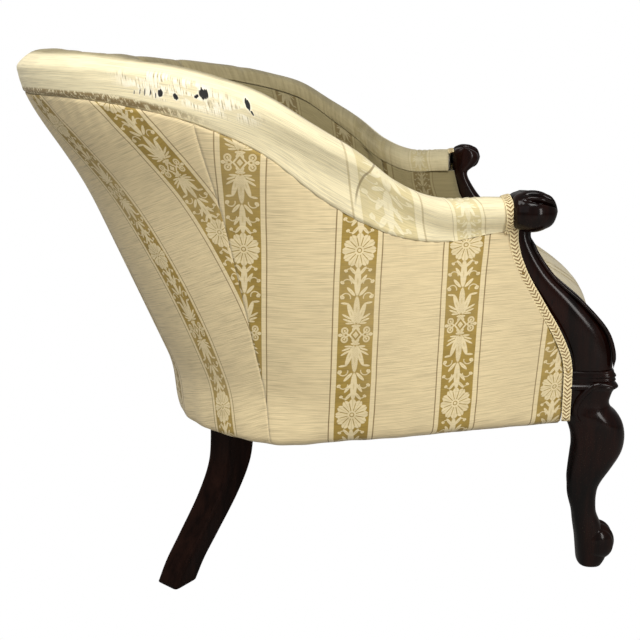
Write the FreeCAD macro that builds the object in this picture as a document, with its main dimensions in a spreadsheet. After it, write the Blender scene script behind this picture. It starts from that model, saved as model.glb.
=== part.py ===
import FreeCAD, Part
import math
import os

# A small tub-backed settee. Plus Z is up, minus Y is the front, and the origin lies on the floor
# under the middle of the whole settee. Every length is in millimetres.

Vector = FreeCAD.Vector
document = FreeCAD.newDocument("settee")
sheet = document.addObject("Spreadsheet::Sheet", "sizes")

driving_sizes = (
    # The tub: crest line, overall reach and the way its wall is layered from outside to inside.
    ("tub_half_width", 512, "middle of the settee to the crest line at its widest"),
    ("tub_depth", 950, "front of the seat to the crest of the back"),
    ("tub_height", 790, "floor to the crest line at the middle of the back"),
    ("cover_thickness", 1.5, "outside cover with its lining"),
    ("panel_bulge", 5, "how far an outside panel swells between its edges"),
    ("bar_setback", 5, "outside of the cover to the iron uprights"),
    ("bar_thickness", 4, "iron upright"),
    ("bar_width", 20, "iron upright"),
    ("screw_beside_middle", 4.5, "foot screw beside the middle of its upright"),
    ("rod_radius", 5.5, "round iron top rail"),
    ("hoop_thickness", 3, "flat iron hoop inside the uprights"),
    ("hoop_width", 18, "flat iron hoop"),
    ("rivet_radius", 5, "rivet head on an upright"),
    ("rivet_height", 2, "rivet head on an upright"),
    ("pad_setback", 23, "outside of the cover to the back of the inside stuffing"),
    ("hessian_thickness", 1, "hessian on the iron frame and over the springs"),
    ("arm_pad_depth", 39, "stuffing inside the arm"),
    ("back_pad_depth", 92, "stuffing inside the back at its fullest"),
    ("pad_belly", 9, "swell of the inside stuffing between its edges"),
    ("roll_depth", 44, "crest to the underside of the stuffed roll, inside"),
    ("roll_overhang", 17, "roll beyond the outside cover"),
    ("roll_width_inside", 61, "roll from the outside cover inwards"),
    ("roll_top_inside", 20, "top of the roll inwards from the outside cover"),
    ("roll_skirt", 3.2, "padding of the roll's outer skirt, inwards from the outside cover"),
    ("roll_skirt_swell", 3, "top of the skirt beyond the outside cover"),
    # The seat frame.
    ("frame_underside", 256, "floor to the underside of the seat rails"),
    ("rail_height", 69, "all four seat rails"),
    ("rail_thickness", 28, "side and rear seat rails"),
    ("rail_setback", 9.3, "outside of the cover to the outside of the rails"),
    ("front_rail_before_leg_back", 34.5, "back of the front leg to the front of the front rail"),
    ("front_rail_thickness", 34, "front seat rail"),
    ("front_block_leg", 72, "side of a triangular front corner block"),
    ("rear_block_leg", 96, "side of a triangular rear corner block"),
    ("corner_block_height", 45, "corner block"),
    ("screw_radius", 2.5, "wood screw shank"),
    ("screw_head_radius", 4.5, "wood screw head"),
    ("screw_head_height", 2.5, "wood screw head"),
    ("screw_length", 38, "wood screw"),
    ("dowel_radius", 5, "beech dowel"),
    ("dowel_length", 50, "beech dowel"),
    # The front legs and the arm facings.
    ("leg_proud", 3, "front leg inwards beyond the inner face of the arm facing"),
    ("leg_width", 60, "front leg at its top, side to side"),
    ("leg_depth", 97, "front leg at its knee, front to back"),
    ("leg_height", 332.5, "floor to the collar under the arm facing"),
    ("leg_back_before_facing_back", 106, "back of the arm facing to the back of the front leg"),
    ("toe_radius_long", 32, "scroll toe, front to back"),
    ("toe_radius_tall", 38, "scroll toe, up and down"),
    ("toe_width", 58, "scroll toe, side to side"),
    ("toe_flat_depth", 2, "how much of the scroll toe is planed away where it stands"),
    ("toe_centre_from_leg_back", 68, "scroll toe centre in front of the back of the leg"),
    ("facing_inner_from_crest", 48.76, "end of the arm's crest line in to the facing's inner face"),
    ("facing_thickness", 55, "arm facing, side to side"),
    ("facing_height", 271, "collar to the top of the scroll head"),
    ("facing_length", 184, "arm facing, front to back"),
    ("facing_back_behind_crest", 54.7, "end of the arm's crest line back to the back of the facing"),
    ("head_radius", 32.5, "scroll head at its fullest"),
    ("head_axis_in", 2, "scroll head axis outwards from the outer face of the facing"),
    ("head_axis_height", 236, "collar to the axis of the scroll head"),
    # The rear legs.
    ("rear_leg_top_side", 43, "square section at the top"),
    ("rear_leg_foot_side", 39, "square section at the floor"),
    ("rear_leg_from_corner", 56.488, "corner of the wall's bottom edge in to the rear leg, top"),
    ("rear_leg_behind_corner", 16.1, "corner of the wall's bottom edge back to the rear leg, top"),
    ("rear_leg_splay_out", 80, "how far the foot stands out from the top"),
    ("rear_leg_splay_back", 89, "how far the foot stands back from the top"),
    ("rear_leg_turn", 37, "degrees the square section is turned"),
    # The seat.
    ("seat_top", 458, "floor to the crown of the seat"),
    ("seat_before_rail", 74, "front of the front rail at the legs to the front of the seat"),
    ("seat_front_bow", 61, "how far the seat and its front rail bow forward at the middle"),
    ("seat_crown_inset", 95, "edge of the seat in to the flat of its crown"),
    ("seat_front_round", 163, "front of the seat back to the flat of its crown"),
    ("spring_chamber_height", 58, "rail top to the hessian over the springs"),
    ("border_depth", 13, "padded front border before the front rail"),
    ("webbing_width", 50, "jute webbing"),
    ("webbing_thickness", 2, "jute webbing"),
    ("webbing_pitch", 87.5, "one strip of webbing to the next"),
    ("cloth_thickness", 1, "dust cloth under the seat"),
    ("cloth_inset", 8, "edge of the dust cloth in from the outside cover"),
    ("spring_end_radius", 38, "seat spring at its ends"),
    ("spring_waist_radius", 22, "seat spring at its waist"),
    ("spring_wire_radius", 2, "seat spring wire"),
    ("spring_column_pitch", 205, "one seat spring to the next, side to side"),
    ("spring_row_pitch", 167, "one seat spring to the next, front to back"),
    ("lashing_radius", 1.5, "laid cord that ties the springs down"),
    # Buttons, braid and pins.
    ("button_radius", 10, "covered button"),
    ("button_height", 7, "covered button"),
    ("button_pit_radius", 34, "mouth of the tuft round a button"),
    ("button_pit_depth", 24, "depth of the tuft at a button"),
    ("lower_button_height", 512, "floor to the lower row of buttons"),
    ("upper_button_height", 640, "floor to the upper row of buttons"),
    ("button_spacing", 160, "one button to the next along a row"),
    ("gimp_width", 13, "braid round the facing"),
    ("gimp_thickness", 2.2, "braid round the facing"),
    ("pin_radius", 2, "gimp pin head"),
    ("pin_height", 0.8, "gimp pin head"),
    ("fit_gap", 0.3, "gap between pieces that meet on a curve"),
    ("overrun", 60, "how far a cutting tool runs past what it cuts"),
)
for row, (alias, value, meaning) in enumerate(driving_sizes, start=1):
    sheet.set("A%d" % row, meaning)
    sheet.set("B%d" % row, str(value))
    sheet.setAlias("B%d" % row, alias)
document.recompute()


def size(alias):
    return float(getattr(sheet, alias))


nodes = {}


def keep(name, shape):
    """Add a finished shape to the document as a sub-part of its own."""
    piece = document.addObject("Part::Feature", name)
    piece.Shape = shape
    piece.Label = name
    piece.Placement = FreeCAD.Placement()
    nodes[name] = piece
    return piece


def keep_object(name, piece):
    """Record an object of the document as a sub-part."""
    piece.Label = name
    nodes[name] = piece
    return piece


# The wall of the tub is followed by stations from the middle of the back (0) to the arm facing.
# Each row holds the bottom edge of the outside cover and the crest above it, as shares of the
# half width, the depth (from the middle, back positive) and the height.
wall_shares = (
    ((0.000, 0.256, 0.300), (0.000, 0.495, 0.999)),
    ((0.255, 0.253, 0.300), (0.274, 0.492, 1.000)),
    ((0.489, 0.241, 0.299), (0.528, 0.478, 0.999)),
    ((0.676, 0.215, 0.297), (0.743, 0.435, 0.997)),
    ((0.793, 0.174, 0.296), (0.870, 0.363, 0.994)),
    ((0.874, 0.122, 0.298), (0.947, 0.270, 0.986)),
    ((0.934, 0.064, 0.301), (0.987, 0.168, 0.968)),
    ((0.971, 0.003, 0.306), (1.000, 0.082, 0.939)),
    ((0.989, -0.064, 0.313), (0.983, 0.003, 0.887)),
    ((0.988, -0.136, 0.320), (0.950, -0.066, 0.837)),
    ((0.967, -0.209, 0.325), (0.910, -0.124, 0.785)),
    ((0.935, -0.282, 0.325), (0.883, -0.187, 0.753)),
    ((0.887, -0.361, 0.320), (0.865, -0.262, 0.751)),
    ((0.844, -0.430, 0.316), (0.855, -0.336, 0.747)),
)
# How much of the back's extra stuffing each station has over the arm's, and less than the arm's
# where the arm narrows to meet its facing.
pad_fullness_shares = (1, 1, 1, 1, 0.95, 0.85, 0.7, 0.5, 0.3, 0.15, 0.05, 0, -0.12, -0.25)
# How far down the roll's outer skirt comes at each station, as a share of the roll's depth.
skirt_shares = (1.07, 1.09, 1.11, 1.16, 1.20, 1.30, 1.50, 1.86, 2.32, 2.36, 1.93, 1.48, 1.20, 1.08)
last_station = len(wall_shares) - 1
back_seam_station = 6
arm_seam_station = 10


def placed(shares, side):
    x_share, y_share, z_share = shares
    return Vector(side * x_share * size("tub_half_width"),
                  y_share * size("tub_depth"),
                  z_share * size("tub_height"))


def blended(low, high, share):
    return low + (high - low) * share


# The facings and the front legs stand at the ends of the arms, and the rear legs in the corners.
rear_corner_station = 5
arm_end = placed(wall_shares[last_station][1], 1)
rear_corner = placed(wall_shares[rear_corner_station][0], 1)
facing_inner_face = arm_end.x - size("facing_inner_from_crest")
facing_back = -arm_end.y - size("facing_back_behind_crest")
leg_inner_face = facing_inner_face - size("leg_proud")
leg_back = facing_back + size("leg_back_before_facing_back")
front_rail_reach = leg_back + size("front_rail_before_leg_back")
seat_front_reach = front_rail_reach + size("seat_before_rail")
rear_leg_top_out = rear_corner.x - size("rear_leg_from_corner")
rear_leg_top_back = rear_corner.y + size("rear_leg_behind_corner")


def wall_line(station):
    """Bottom edge and crest of the wall at a station, which may lie between two rows."""
    side = -1 if station < 0 else 1
    place = min(abs(station), last_station)
    first = min(int(place), last_station - 1)
    share = place - first
    ends = []
    for end in (0, 1):
        low = placed(wall_shares[first][end], side)
        high = placed(wall_shares[first + 1][end], side)
        ends.append(blended(low, high, share))
    return ends


def wall_frame(station):
    """Origin at the crest, with the directions along, outwards and up the wall."""
    before = wall_line(max(station - 1, -last_station))
    after = wall_line(min(station + 1, last_station))
    along = (after[0] - before[0]) + (after[1] - before[1])
    bottom, crest = wall_line(station)
    up = (crest - bottom).normalize()
    outward = up.cross(along).normalize()
    return crest, outward.cross(up).normalize(), outward, up


def crest_point(station, outwards, upwards):
    crest, along, outward, up = wall_frame(station)
    return crest + outward * outwards + up * upwards


def drop_to(station, height, inset):
    """How far below the crest, along the wall, a point set in by inset has this height."""
    crest, along, outward, up = wall_frame(station)
    return (height - crest.z + outward.z * inset) / up.z


def pad_depth(station):
    place = min(abs(station), last_station)
    first = min(int(place), last_station - 1)
    fullness = blended(pad_fullness_shares[first], pad_fullness_shares[first + 1], place - first)
    return blended(size("arm_pad_depth"), size("back_pad_depth"), fullness)


def skirt_drop(station):
    place = min(abs(station), last_station)
    first = min(int(place), last_station - 1)
    share = blended(skirt_shares[first], skirt_shares[first + 1], place - first)
    return -share * size("roll_depth")


def stations(start, end):
    return [start + step for step in range(int(round(end - start)) + 1)]


def wire_of(corners):
    """A closed wire: each corner is a point, and a middle point after it makes that side an arc."""
    edges = []
    for index, (corner, middle) in enumerate(corners):
        following = corners[(index + 1) % len(corners)][0]
        if middle is None:
            edges.append(Part.LineSegment(corner, following).toShape())
        else:
            edges.append(Part.Arc(corner, middle, following).toShape())
    return Part.Wire(edges)


def loft_of(wires):
    return Part.makeLoft(wires, True, True)


def flat_face(points):
    return Part.Face(Part.makePolygon(points + points[:1]))


def solid_through(rows):
    """A solid with flat facets through rows of points; each row goes once round the piece."""
    faces = [flat_face(rows[0]), flat_face(rows[-1])]
    for row, following in zip(rows, rows[1:]):
        for index in range(len(row)):
            beside = (index + 1) % len(row)
            corners = [row[index], row[beside], following[beside], following[index]]
            # The shorter diagonal parts each twisted facet in two.
            if (corners[0] - corners[2]).Length > (corners[1] - corners[3]).Length:
                corners = corners[1:] + corners[:1]
            faces.append(flat_face(corners[:3]))
            faces.append(flat_face([corners[0], corners[2], corners[3]]))
    solid = Part.makeSolid(Part.makeShell(faces))
    return solid if solid.Volume > 0 else solid.reversed()


def arc_points(start, middle, end, count):
    """Points along the arc through three points, without the last."""
    arc = Part.Arc(start, middle, end)
    first, last = arc.FirstParameter, arc.LastParameter
    return [arc.value(blended(first, last, step / count)) for step in range(count)]


def turned(base, direction, profile, sides=8):
    """A small turned piece with flat facets: the profile's rows are radii and distances from the
    base along the direction."""
    direction = Vector(direction).normalize()
    helper = Vector(0, 0, 1) if abs(direction.z) < 0.9 else Vector(1, 0, 0)
    across = direction.cross(helper).normalize()
    upward = direction.cross(across)
    return solid_through([ring(base + direction * distance, across, upward, radius, sides)
                          for radius, distance in profile])


def ring(centre, across, upward, radius, sides):
    turn = 2 * math.pi / sides
    return [centre + across * (radius * math.cos(turn * side))
            + upward * (radius * math.sin(turn * side)) for side in range(sides)]


def band(span, outer, inner, top, bottom, bulge_share=0):
    """A strip that follows the wall: insets are negative outwards offsets, heights run up the wall.
    top and bottom are functions of the station."""
    rows = []
    for station in span:
        high = top(station)
        low = bottom(station)
        middle = (high + low) / 2
        swell = bulge_share * size("panel_bulge")
        row = [crest_point(station, outer, low)]
        if swell:
            row.append(crest_point(station, outer + swell, middle))
        row.append(crest_point(station, outer, high))
        row.append(crest_point(station, inner, high))
        if swell:
            row.append(crest_point(station, inner + swell, middle))
        row.append(crest_point(station, inner, low))
        rows.append(row)
    return solid_through(rows)


def mirrored(shape):
    return shape.mirror(Vector(0, 0, 0), Vector(1, 0, 0))


def both_sides(name, right_shape):
    keep(name + "_right", right_shape)
    keep(name + "_left", mirrored(right_shape))


# Heights that several pieces share.
rail_top = size("frame_underside") + size("rail_height")
collar = size("leg_height")
overrun = size("overrun")
fit_gap = size("fit_gap")

# The arm facing in side view. Points are shares of its length, forwards from its back, and of its
# height above the collar.
facing_rear_shares = ((0.000, 0.952), (0.082, 0.850), (0.085, 0.712), (0.163, 0.557),
                      (0.315, 0.380), (0.446, 0.232), (0.538, 0.096), (0.565, 0.000))
facing_front_shares = ((0.989, 0.000), (0.989, 0.052), (0.967, 0.148), (0.924, 0.221),
                       (0.793, 0.339), (0.598, 0.450), (0.424, 0.568), (0.321, 0.664),
                       (0.255, 0.768))
facing_head_shares = ((0.255, 0.768), (0.350, 0.795), (0.420, 0.850), (0.440, 0.904),
                      (0.386, 0.965), (0.255, 1.000), (0.114, 0.990), (0.000, 0.952))


def facing_point(shares, back_by=0):
    forward = facing_back + shares[0] * size("facing_length") - back_by
    return Vector(0, -forward, collar + fit_gap + shares[1] * size("facing_height"))


def spline_through(points):
    curve = Part.BSplineCurve()
    curve.interpolate(points)
    return curve


def line(start, end):
    return Part.LineSegment(start, end).toShape()


def facing_outline():
    rear = [facing_point(shares) for shares in facing_rear_shares]
    front = [facing_point(shares) for shares in facing_front_shares]
    head = [facing_point(shares) for shares in facing_head_shares]
    return (spline_through(rear), Part.LineSegment(rear[-1], front[0]),
            spline_through(front), spline_through(head))


def facing_room():
    """All the space in front of the facing's rear edge, which the wall's pieces keep out of."""
    rear = [facing_point(shares, fit_gap) for shares in facing_rear_shares]
    reach = size("tub_half_width") + overrun
    front_y = -size("tub_depth")
    top = Vector(0, rear[0].y, size("tub_height") + overrun)
    low = Vector(0, rear[-1].y, 0)
    edges = [
        spline_through(rear).toShape(),
        Part.LineSegment(rear[-1], low).toShape(),
        Part.LineSegment(low, Vector(0, front_y, 0)).toShape(),
        Part.LineSegment(Vector(0, front_y, 0), Vector(0, front_y, top.z)).toShape(),
        Part.LineSegment(Vector(0, front_y, top.z), top).toShape(),
        Part.LineSegment(top, rear[0]).toShape(),
    ]
    face = Part.Face(Part.Wire(edges))
    face.translate(Vector(-reach, 0, 0))
    return face.extrude(Vector(2 * reach, 0, 0))


in_front_of_rear_edge = facing_room()


def largest_solid(shape):
    return max(shape.Solids, key=lambda solid: solid.Volume)


# Front legs: cabriole, cut and carved from solid. Each row is a height share of the leg, its front
# and its back as shares of the leg's depth, and its half width as a share of the top's.
leg_section_shares = (
    (1.000, 0.784, 0.000, 1.00),
    (0.976, 0.800, 0.000, 1.02),
    (0.952, 0.804, 0.000, 1.03),
    (0.916, 0.850, 0.000, 1.06),
    (0.889, 0.800, 0.000, 1.02),
    (0.844, 0.765, 0.000, 0.98),
    (0.808, 0.820, 0.010, 1.02),
    (0.778, 0.925, 0.040, 1.08),
    (0.733, 1.015, 0.140, 1.12),
    (0.676, 1.058, 0.215, 1.10),
    (0.619, 1.050, 0.240, 1.04),
    (0.571, 1.000, 0.230, 0.98),
    (0.505, 0.878, 0.212, 0.88),
    (0.450, 0.766, 0.203, 0.78),
    (0.408, 0.704, 0.215, 0.70),
    (0.366, 0.684, 0.226, 0.66),
    (0.327, 0.684, 0.257, 0.66),
    (0.276, 0.714, 0.308, 0.72),
    (0.210, 0.786, 0.350, 0.82),
    (0.135, 0.846, 0.432, 0.90),
)
leg_corner_share = 0.24


def eased_section(height, front, back, half_width, centre_out):
    """The points of a level rectangle with its corners cut off."""
    corner = leg_corner_share * 2 * half_width
    left = centre_out - half_width
    right = centre_out + half_width
    places = ((left + corner, front), (right - corner, front), (right, front + corner),
              (right, back - corner), (right - corner, back), (left + corner, back),
              (left, back - corner), (left, front + corner))
    return [Vector(x, y, height) for x, y in places]


def front_leg():
    centre_out = leg_inner_face + size("leg_width") / 2
    rows = []
    for height_share, front_share, back_share, width_share in leg_section_shares:
        front = -(leg_back + front_share * size("leg_depth"))
        back = -(leg_back + back_share * size("leg_depth"))
        half_width = width_share * size("leg_width") / 2
        rows.append(eased_section(height_share * size("leg_height"), front, back,
                                  half_width, centre_out))
    shank = solid_through(rows)
    toe_middle = -(leg_back + size("toe_centre_from_leg_back"))
    toe_height = size("toe_radius_tall") - size("toe_flat_depth")
    ends = []
    for side in (-1, 1):
        out = centre_out + side * size("toe_width") / 2
        rim = ring(Vector(out, toe_middle, toe_height), Vector(0, size("toe_radius_long"), 0),
                   Vector(0, 0, size("toe_radius_tall")), 1, 24)
        ends.append([Vector(point.x, point.y, max(point.z, 0)) for point in rim])
    return largest_solid(shank.fuse(solid_through(ends)))


front_leg_right = front_leg()


# Rear legs: sabre shaped, square in section and turned to stand on the diagonal.
# Each row is a height share of the frame's underside and the share of the splay reached there.
sabre_shares = ((1.26, 0.00), (1.00, 0.00), (0.80, 0.03), (0.64, 0.12), (0.46, 0.35),
                (0.26, 0.65), (0.12, 0.86), (0.00, 1.00))


def rear_leg():
    rows = []
    for height_share, splay_share in sabre_shares:
        side = blended(size("rear_leg_foot_side"), size("rear_leg_top_side"),
                       min(height_share, 1))
        middle = Vector(rear_leg_top_out + splay_share * size("rear_leg_splay_out"),
                        rear_leg_top_back + splay_share * size("rear_leg_splay_back"),
                        height_share * size("frame_underside"))
        corners = []
        for quarter in range(4):
            angle = math.radians(size("rear_leg_turn") + 45 + 90 * quarter)
            reach = side / math.sqrt(2)
            corner = middle + Vector(reach * math.cos(angle), reach * math.sin(angle), 0)
            corners.append(corner)
        rows.append(corners)
    return solid_through(rows)


rear_leg_right = rear_leg()


# Seat rails: curved with the wall, sawn from thick beech, tenoned and doweled to the legs.
def plan_point(station, inset, height):
    """The point in from the outside cover by inset, square to the wall, at this height."""
    return crest_point(station, -inset, drop_to(station, height, inset))


def curved_rail(start, end):
    """A rail raked with the wall, level above and below."""
    margin = size("rail_thickness")
    raked = band(stations(start, end), -size("rail_setback"),
                 -(size("rail_setback") + size("rail_thickness")),
                 lambda station: drop_to(station, rail_top, 0) + margin,
                 lambda station: drop_to(station, size("frame_underside"), 0) - margin)
    reach = 2 * size("tub_depth")
    level = Part.makeBox(2 * reach, 2 * reach, size("rail_height"),
                         Vector(-reach, -reach, size("frame_underside")))
    return raked.common(level)


legs_right = front_leg_right.fuse(rear_leg_right)
legs_all = legs_right.fuse(mirrored(legs_right))
before_leg_back = Part.makeBox(4 * size("tub_half_width"), size("tub_depth"), size("tub_height"),
                               Vector(-2 * size("tub_half_width"),
                                      -leg_back - size("tub_depth"), 0))


side_rail_right = largest_solid(
    curved_rail(5, last_station).cut(legs_all).cut(before_leg_back))
rear_rail = largest_solid(curved_rail(-4, 4).cut(legs_all))
rails_right = side_rail_right.fuse(rear_rail)


# Corner blocks, glued and screwed inside each corner of the frame.
front_block_out_share = 0.65
front_block_bite_share = 0.1
rear_block_bite_share = 0.25
front_block_corner = Vector(
    leg_inner_face + size("leg_width") * front_block_out_share,
    -leg_back - size("front_rail_thickness") * front_block_bite_share, 0)
rear_block_corner = Vector(
    rear_leg_top_out + size("rear_leg_top_side") * rear_block_bite_share,
    rear_leg_top_back + size("rear_leg_top_side") * rear_block_bite_share, 0)
block_floor = size("frame_underside") + (size("rail_height") - size("corner_block_height")) / 2


def corner_block(corner, side_length, towards_back):
    corner = Vector(corner.x, corner.y, block_floor)
    wire = wire_of([(corner, None),
                    (corner + Vector(-side_length, 0, 0), None),
                    (corner + Vector(0, towards_back * side_length, 0), None)])
    return slab(wire, size("corner_block_height")).cut(legs_all).cut(rails_right)


def slab(wire, thickness):
    return Part.Face(wire).extrude(Vector(0, 0, thickness))


def block_screw(corner, side_length, towards_back, height_share):
    """A countersunk screw from the long face of a block, square to it, into the leg."""
    into = Vector(1, -towards_back, 0).normalize()
    height = block_floor + height_share * size("corner_block_height")
    start = Vector(corner.x - side_length / 2, corner.y + towards_back * side_length / 2, height)
    return turned(start, into, ((size("screw_head_radius"), 0),
                                (size("screw_radius"), size("screw_head_height")),
                                (size("screw_radius"), size("screw_length"))))


front_block_side = size("front_block_leg")
rear_block_side = size("rear_block_leg")
screw_height_shares = (0.3, 0.7)
screws_right = [block_screw(front_block_corner, front_block_side, 1, share)
                for share in screw_height_shares]
screws_right += [block_screw(rear_block_corner, rear_block_side, -1, share)
                 for share in screw_height_shares]
block_screws = Part.makeCompound(screws_right + [mirrored(screw) for screw in screws_right])


# Dowels: through each rail's end into its leg, and up from each front leg into its arm facing.
def dowel(start, direction):
    return turned(start, direction, ((size("dowel_radius"), 0),
                                     (size("dowel_radius"), size("dowel_length"))), 12)


dowel_height_shares = (0.27, 0.73)
side_dowel_out_share = 0.8
facing_dowel_shares = (0.25, 0.6)


def dowels_right():
    found = []
    half = size("dowel_length") / 2
    front_rail_middle = front_rail_reach - size("front_rail_thickness") / 2
    rail_levels = [size("frame_underside") + share * size("rail_height")
                   for share in dowel_height_shares]
    for level in rail_levels:
        found.append(dowel(Vector(leg_inner_face - half, -front_rail_middle, level),
                           Vector(1, 0, 0)))
        found.append(dowel(Vector(leg_inner_face + size("leg_width") * side_dowel_out_share,
                                  -leg_back - half, level), Vector(0, 1, 0)))
    return found


def facing_dowels_right():
    out = facing_inner_face + size("facing_thickness") / 2
    low = collar - size("dowel_length") / 2
    return [dowel(Vector(out, -leg_back - share * size("leg_depth"), low), Vector(0, 0, 1))
            for share in facing_dowel_shares]


# Screws through the feet of the iron uprights into the rails.
upright_stations = (-11, -9, -7, -5, -3, -1, 1, 3, 5, 7, 9, 11)
bar_screw_share = 0.75
bar_end_share = 0.3
bar_end_height = size("frame_underside") + bar_end_share * size("rail_height")


def rivet(station, drop):
    """The head of a rivet on the outside of an upright."""
    crest, along, outward, up = wall_frame(station)
    base = crest - outward * size("bar_setback") + up * drop
    return turned(base, outward, ((size("rivet_radius"), 0),
                                  (size("rivet_radius"), size("rivet_height"))))


def bar_screw(station):
    """A screw through an upright's foot into the rail."""
    crest, along, outward, up = wall_frame(station)
    middle = (bar_end_height + rail_top) / 2
    drop = drop_to(station, middle, size("bar_setback"))
    crest = crest + along * size("screw_beside_middle")
    length = bar_screw_share * size("screw_length")
    tip = crest - outward * (size("bar_setback") + length) + up * drop
    return turned(tip, outward, ((size("screw_radius"), 0), (size("screw_radius"), length),
                                 (size("rivet_radius"), length),
                                 (size("rivet_radius"), length + size("rivet_height"))))


bar_screws_right = [bar_screw(station) for station in upright_stations if station > 0]
bar_screws = Part.makeCompound(bar_screws_right + [mirrored(screw) for screw in bar_screws_right])
keep("iron_foot_screws", bar_screws)

leg_dowels = dowels_right()
leg_dowels = Part.makeCompound(leg_dowels + [mirrored(piece) for piece in leg_dowels])
facing_dowels = facing_dowels_right()
facing_dowels = Part.makeCompound(facing_dowels + [mirrored(piece) for piece in facing_dowels])
fastenings = Part.makeCompound(block_screws.Solids + leg_dowels.Solids + facing_dowels.Solids
                               + bar_screws.Solids)
keep("corner_block_screws", block_screws)
keep("leg_dowels", leg_dowels)
keep("facing_dowels", facing_dowels)

blocks_right = [largest_solid(corner_block(front_block_corner, front_block_side, 1)),
                largest_solid(corner_block(rear_block_corner, rear_block_side, -1))]
blocks_right = [block.cut(fastenings) for block in blocks_right]
keep("corner_blocks", Part.makeCompound(blocks_right + [mirrored(block) for block in blocks_right]))


def front_rail_outline(bow, reach, half_length, thickness):
    """The bowed plan of a piece at the front: an arc before, an arc behind, square ends."""
    left = Vector(-half_length, -reach, 0)
    right = Vector(half_length, -reach, 0)
    return (
        (left, Vector(0, -reach - bow, 0)),
        (right, None),
        (Vector(half_length, -reach + thickness, 0), Vector(0, -reach - bow + thickness, 0)),
        (Vector(-half_length, -reach + thickness, 0), None),
    )


front_rail_body = document.addObject("PartDesign::Body", "front_rail_body")
front_rail_sketch = front_rail_body.newObject("Sketcher::SketchObject", "front_rail_plan")
level_plane = [part for part in front_rail_body.Origin.OriginFeatures if part.Role == "XY_Plane"][0]
front_rail_sketch.AttachmentSupport = [(level_plane, "")]
front_rail_sketch.MapMode = "FlatFace"
front_rail_sketch.setExpression("AttachmentOffset.Base.z", "sizes.frame_underside")
rail_corners = front_rail_outline(size("seat_front_bow"), front_rail_reach,
                                  leg_inner_face, size("front_rail_thickness"))
for index, (corner, middle) in enumerate(rail_corners):
    following = rail_corners[(index + 1) % len(rail_corners)][0]
    if middle is None:
        front_rail_sketch.addGeometry(Part.LineSegment(corner, following))
    else:
        front_rail_sketch.addGeometry(Part.Arc(corner, middle, following))
front_rail_pad = front_rail_body.newObject("PartDesign::Pad", "front_rail_height")
front_rail_pad.Profile = front_rail_sketch
front_rail_pad.setExpression("Length", "sizes.rail_height")
front_rail_body.Tip = front_rail_pad
document.recompute()


def bored(name, body, tool_shape):
    """A body with the holes that its dowels fill."""
    tool = document.addObject("Part::Feature", name + "_holes")
    tool.Shape = tool_shape
    cut = document.addObject("Part::Cut", name)
    cut.Base = body
    cut.Tool = tool
    return keep_object(name, cut)


bored("front_seat_rail", front_rail_body, fastenings.fuse(legs_all))
keep("rear_seat_rail", rear_rail.cut(bar_screws))
both_sides("side_seat_rail", side_rail_right.cut(fastenings))
both_sides("front_leg", front_leg_right.cut(fastenings))
both_sides("rear_leg", rear_leg_right.cut(fastenings))


# Arm facings: a flat serpentine board with a turned and carved scroll head growing outwards.
def arm_facing(name, side):
    body = document.addObject("PartDesign::Body", name + "_body")
    planes = {part.Role: part for part in body.Origin.OriginFeatures}
    board_sketch = body.newObject("Sketcher::SketchObject", name + "_outline")
    board_sketch.AttachmentSupport = [(planes["YZ_Plane"], "")]
    board_sketch.MapMode = "FlatFace"
    arm_end_share = wall_shares[last_station][1][0]
    inner = "(%s * sizes.tub_half_width - sizes.facing_inner_from_crest)" % arm_end_share
    if side > 0:
        board_sketch.setExpression("AttachmentOffset.Base.z", inner)
    else:
        board_sketch.setExpression("AttachmentOffset.Base.z", "-%s - sizes.facing_thickness" % inner)
    turn = FreeCAD.Placement(Vector(0, 0, 0), FreeCAD.Rotation(
        Vector(0, 1, 0), Vector(0, 0, 1), Vector(1, 0, 0), "XYZ")).inverse()
    for curve in facing_outline():
        flat = curve.toShape().transformed(turn.toMatrix()).Edges[0].Curve
        if isinstance(flat, Part.BSplineCurve):
            board_sketch.addGeometry(flat)
        else:
            ends = [turn.multVec(curve.StartPoint), turn.multVec(curve.EndPoint)]
            board_sketch.addGeometry(Part.LineSegment(ends[0], ends[1]))
    board = body.newObject("PartDesign::Pad", name + "_board")
    board.Profile = board_sketch
    board.setExpression("Length", "sizes.facing_thickness")

    # The head is turned about a level axis that runs front to back.
    head_sketch = body.newObject("Sketcher::SketchObject", name + "_head_profile")
    head_sketch.AttachmentSupport = [(planes["XY_Plane"], "")]
    head_sketch.MapMode = "FlatFace"
    axis_out = "(%s + sizes.facing_thickness + sizes.head_axis_in)" % inner
    sign = "" if side > 0 else "-"
    head_sketch.setExpression("AttachmentOffset.Base.x", sign + axis_out)
    head_sketch.setExpression("AttachmentOffset.Base.z", "sizes.leg_height + sizes.head_axis_height")
    # Shares of the facing's length, forwards, and of the head's radius.
    head_profile_shares = ((0.060, 0.80), (0.130, 0.93), (0.220, 1.00), (0.330, 0.96),
                           (0.400, 0.72), (0.436, 0.38), (0.444, 0.00))
    profile = [Vector(radius_share * size("head_radius"),
                      -(facing_back + forward_share * size("facing_length")), 0)
               for forward_share, radius_share in head_profile_shares]
    on_axis = Vector(0, profile[0].y, 0)
    head_sketch.addGeometry(Part.LineSegment(on_axis, profile[0]))
    for start, end in zip(profile, profile[1:]):
        head_sketch.addGeometry(Part.LineSegment(start, end))
    head_sketch.addGeometry(Part.LineSegment(profile[-1], on_axis))
    head = body.newObject("PartDesign::Revolution", name + "_head")
    head.Profile = head_sketch
    head.ReferenceAxis = (head_sketch, ["V_Axis"])
    head.Angle = 360
    body.Tip = head
    document.recompute()
    return bored(name, body, facing_dowels)


arm_facing("arm_facing_right", 1)
arm_facing("arm_facing_left", -1)
document.recompute()

# The iron back: a round top rail, flat uprights with feet on the seat rails, and a flat hoop.
rod_in = -(size("bar_setback") + size("bar_thickness") + size("rod_radius"))
rod_drop = -(size("roll_depth") + 2 * size("rod_radius"))


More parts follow.
